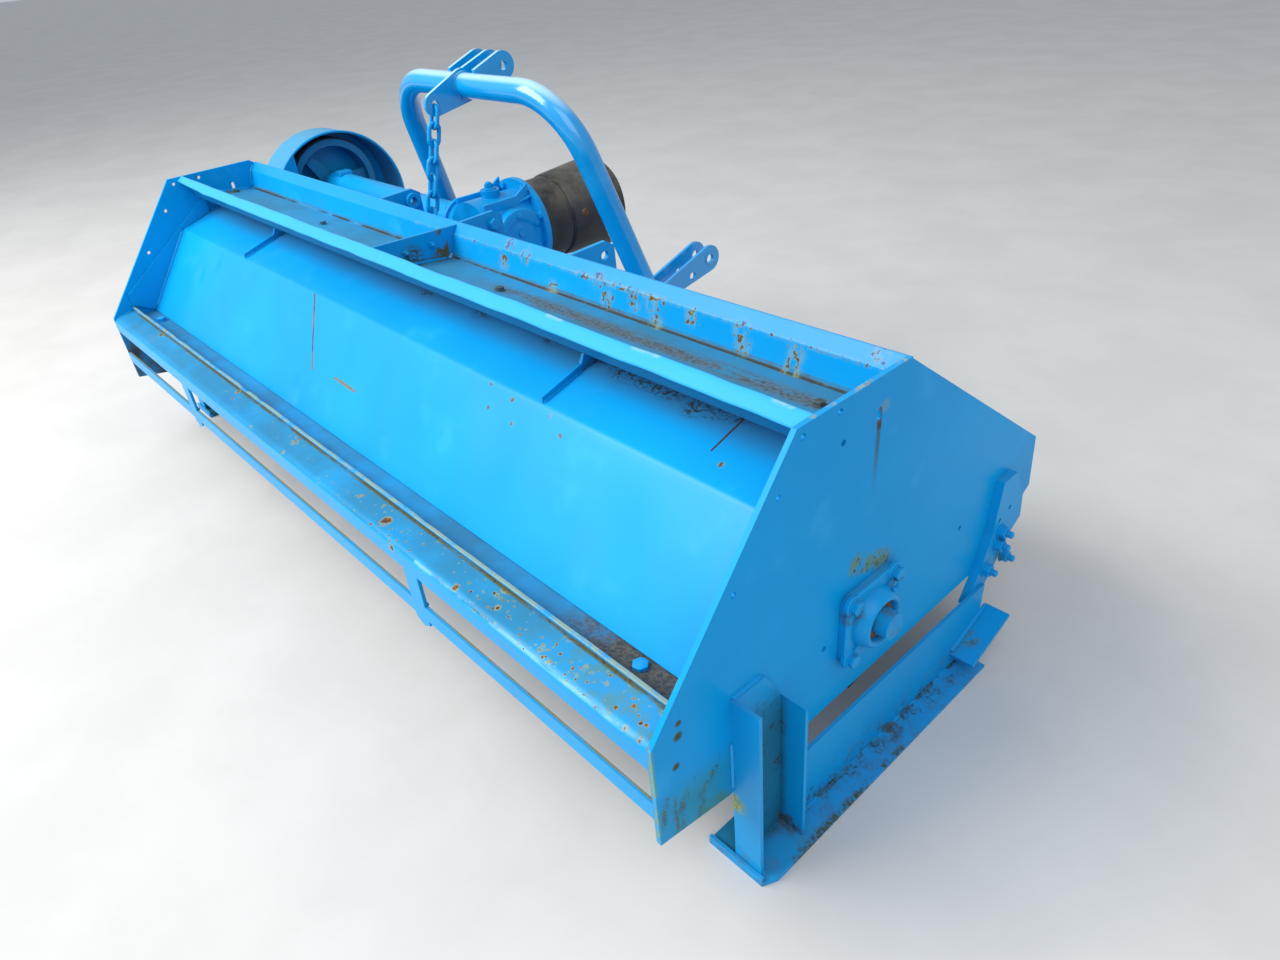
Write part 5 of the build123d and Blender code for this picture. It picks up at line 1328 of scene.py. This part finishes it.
for x in (HITCH - 0.038, HITCH - 0.026):
    ring = [round_side(x, MAST_TOP, 0.0362, a) for a in turns(44)]
    hitch_welds.bead(ring + ring[:1], 0.0038)
piece("hitch_welds", hitch_welds, "hitch_paint")

# Eyes of the lower clevises have a worn collar on each outer face
eyes = Shape()
collar = [(0.0145, 0), (0.0215, 0), (0.0215, 0.0014), (0.02, 0.002), (0.0145, 0.002)]
for clevis_way in SIDES:
    for cheek in SIDES:
        x = HITCH + clevis_way * CLEVIS + cheek * 0.037
        eyes.lathe(at(x, 1.432, 0.565), (cheek, 0, 0), collar, closed=True)
piece("clevis_collars", eyes, "hitch_paint")


# Skids

skid_gear = Shape()
skid_welds = Shape()
for way in SIDES:
    for y, z in ((1.044, 0.294), (1.037, 0.262), (1.072, 0.212), (0.995, 0.215)):
        skid_gear.nut(at(way * (HALF + 0.0197), y, z), (way, 0, 0), 0.0085, 0.014)
        if y > 1.03:
            skid_gear.bolt(at(way * INNER, y, z), (-way, 0, 0), 0.0085)
    x = way * (HALF + 0.001)
    for y in (0.174, 0.303):
        skid_welds.fillet(x, ((y, 0.215), (y, 0.33)))
    skid_welds.fillet(x, ((0.18, 0.433), (0.25, 0.433)))
    for out in (0.004, 0.06):
        skid_welds.fillet(way * (HALF + out), ((0.174, 0.0135), (0.19, 0.0135)), 0.0045)
    foot = [at(way * (HALF + out), 0.1735, 0.013) for out in (0.003, 0.058)]
    skid_welds.bead(foot, 0.0045)
    crease = way * (HALF + 0.0295)
    skid_welds.fillet(crease, ((0.32, 0.009), (0.86, 0.009)), 0.0038)
    toe = [(y, 0.055 + (y - 0.868) * 0.374) for y in (0.872, 1.01)]
    skid_welds.fillet(crease, toe, 0.0045)
piece("skid_bolts", skid_gear, "skid_paint", bevel=0.0006)
piece("skid_welds", skid_welds, "skid_paint")


# Curtain and rotor

CURTAIN_Y = 1.108
CURTAIN_TOP = 0.362
CURTAIN_FOOT = 0.19
STRIPS = 20
strip_pitch = 2 * INNER / STRIPS
curtain = Shape()
for i in range(STRIPS):
    low = -INNER + i * strip_pitch + 0.0015
    high = low + strip_pitch - 0.003
    swing = draw.uniform(-0.012, 0.012)
    twist = draw.uniform(-0.006, 0.006)
    short = draw.uniform(0.0, 0.01)
    rings = []
    for k in range(9):
        share = k / 8
        z = CURTAIN_TOP + (CURTAIN_FOOT + short - CURTAIN_TOP) * share
        y = CURTAIN_Y + swing * share**2 + 0.002 * math.sin(3 * share + i)
        y_low = y - twist * share
        y_high = y + twist * share
        corners = [(low, y_low), (high, y_high), (high, y_high + 0.008), (low, y_low + 0.008)]
        rings.append([at(*corner, z) for corner in corners])
    curtain.loft(rings)
piece("curtain_strips", curtain, "curtain_rubber", replaces=["front_curtain"], bevel=0.0012)
clamps = Shape()
for i in range(14):
    x = -1.3 + 2.6 * i / 13
    clamps.bolt(at(x, 1.122, 0.342), FRONT, 0.005)
    clamps.nut(at(x, 1.106, 0.342), (0, -1, 0), 0.005, 0.006)
piece("curtain_bolts", clamps, "hood_paint", bevel=0.0004)

# Pins through each hammer's ears
HAMMERS = 28
HAMMER_TURN = math.radians(77)
PIVOT_R = 0.15
EAR_OUT = 0.0284
DRUM_LENGTH = 2 * INNER - 0.028
pins = Shape()
for i in range(HAMMERS):
    x = (i - (HAMMERS - 1) / 2) * (DRUM_LENGTH - 0.11) / (HAMMERS - 1)
    pins.bolt(round_side(x + EAR_OUT, ROTOR, PIVOT_R, HAMMER_TURN * i), RIGHT, 0.008)
    pins.nut(round_side(x - EAR_OUT, ROTOR, PIVOT_R, HAMMER_TURN * i), LEFT, 0.008, 0.005)
piece("hammer_pins", pins, "hammer_steel", "rotor", bevel=0.0006)
ends = Shape()
ring = [(0.0278, 0), (0.044, 0), (0.044, 0.008), (0.041, 0.01), (0.0278, 0.01)]
for way in SIDES:
    ends.lathe(at(way * (DRUM_LENGTH / 2), *ROTOR), (way, 0, 0), ring, 40, closed=True)
piece("drum_collars", ends, "rotor_steel", "rotor")


# Floor and light

bpy.ops.mesh.primitive_plane_add(size=160, location=(0, 0, 0))
floor = bpy.context.object
floor.name = "floor"
floor_tone = bare("floor_tone", (0.58, 0.57, 0.56), (0.62, 0.61, 0.6), 0.8, 0.0, 2.0)
floor.data.materials.append(floor_tone)

world = bpy.data.worlds.new("studio")
world.use_nodes = True
sky = world.node_tree.nodes["Background"]
sky.inputs["Color"].default_value = (0.84, 0.91, 1.0, 1)
sky.inputs["Strength"].default_value = 0.6
bpy.context.scene.world = world


def lamp(name, place, aim, size, power, tone):
    """A large square lamp."""
    data = bpy.data.lights.new(name, "AREA")
    data.size = size
    data.energy = power
    data.color = tone
    lamp_object = bpy.data.objects.new(name, data)
    lamp_object.location = place
    lamp_object.rotation_euler = (Vector(aim) - Vector(place)).to_track_quat("-Z", "Y").to_euler()
    bpy.context.collection.objects.link(lamp_object)


lamp("key", (-2.5, -4.5, 5.5), (0, 0, 0.4), 5.0, 660, (1.0, 0.98, 0.92))
lamp("fill", (4.5, -2.5, 5.5), (0, 0, 0.4), 5.0, 150, (0.92, 0.97, 1.0))
bpy.context.scene.view_settings.view_transform = "Standard"
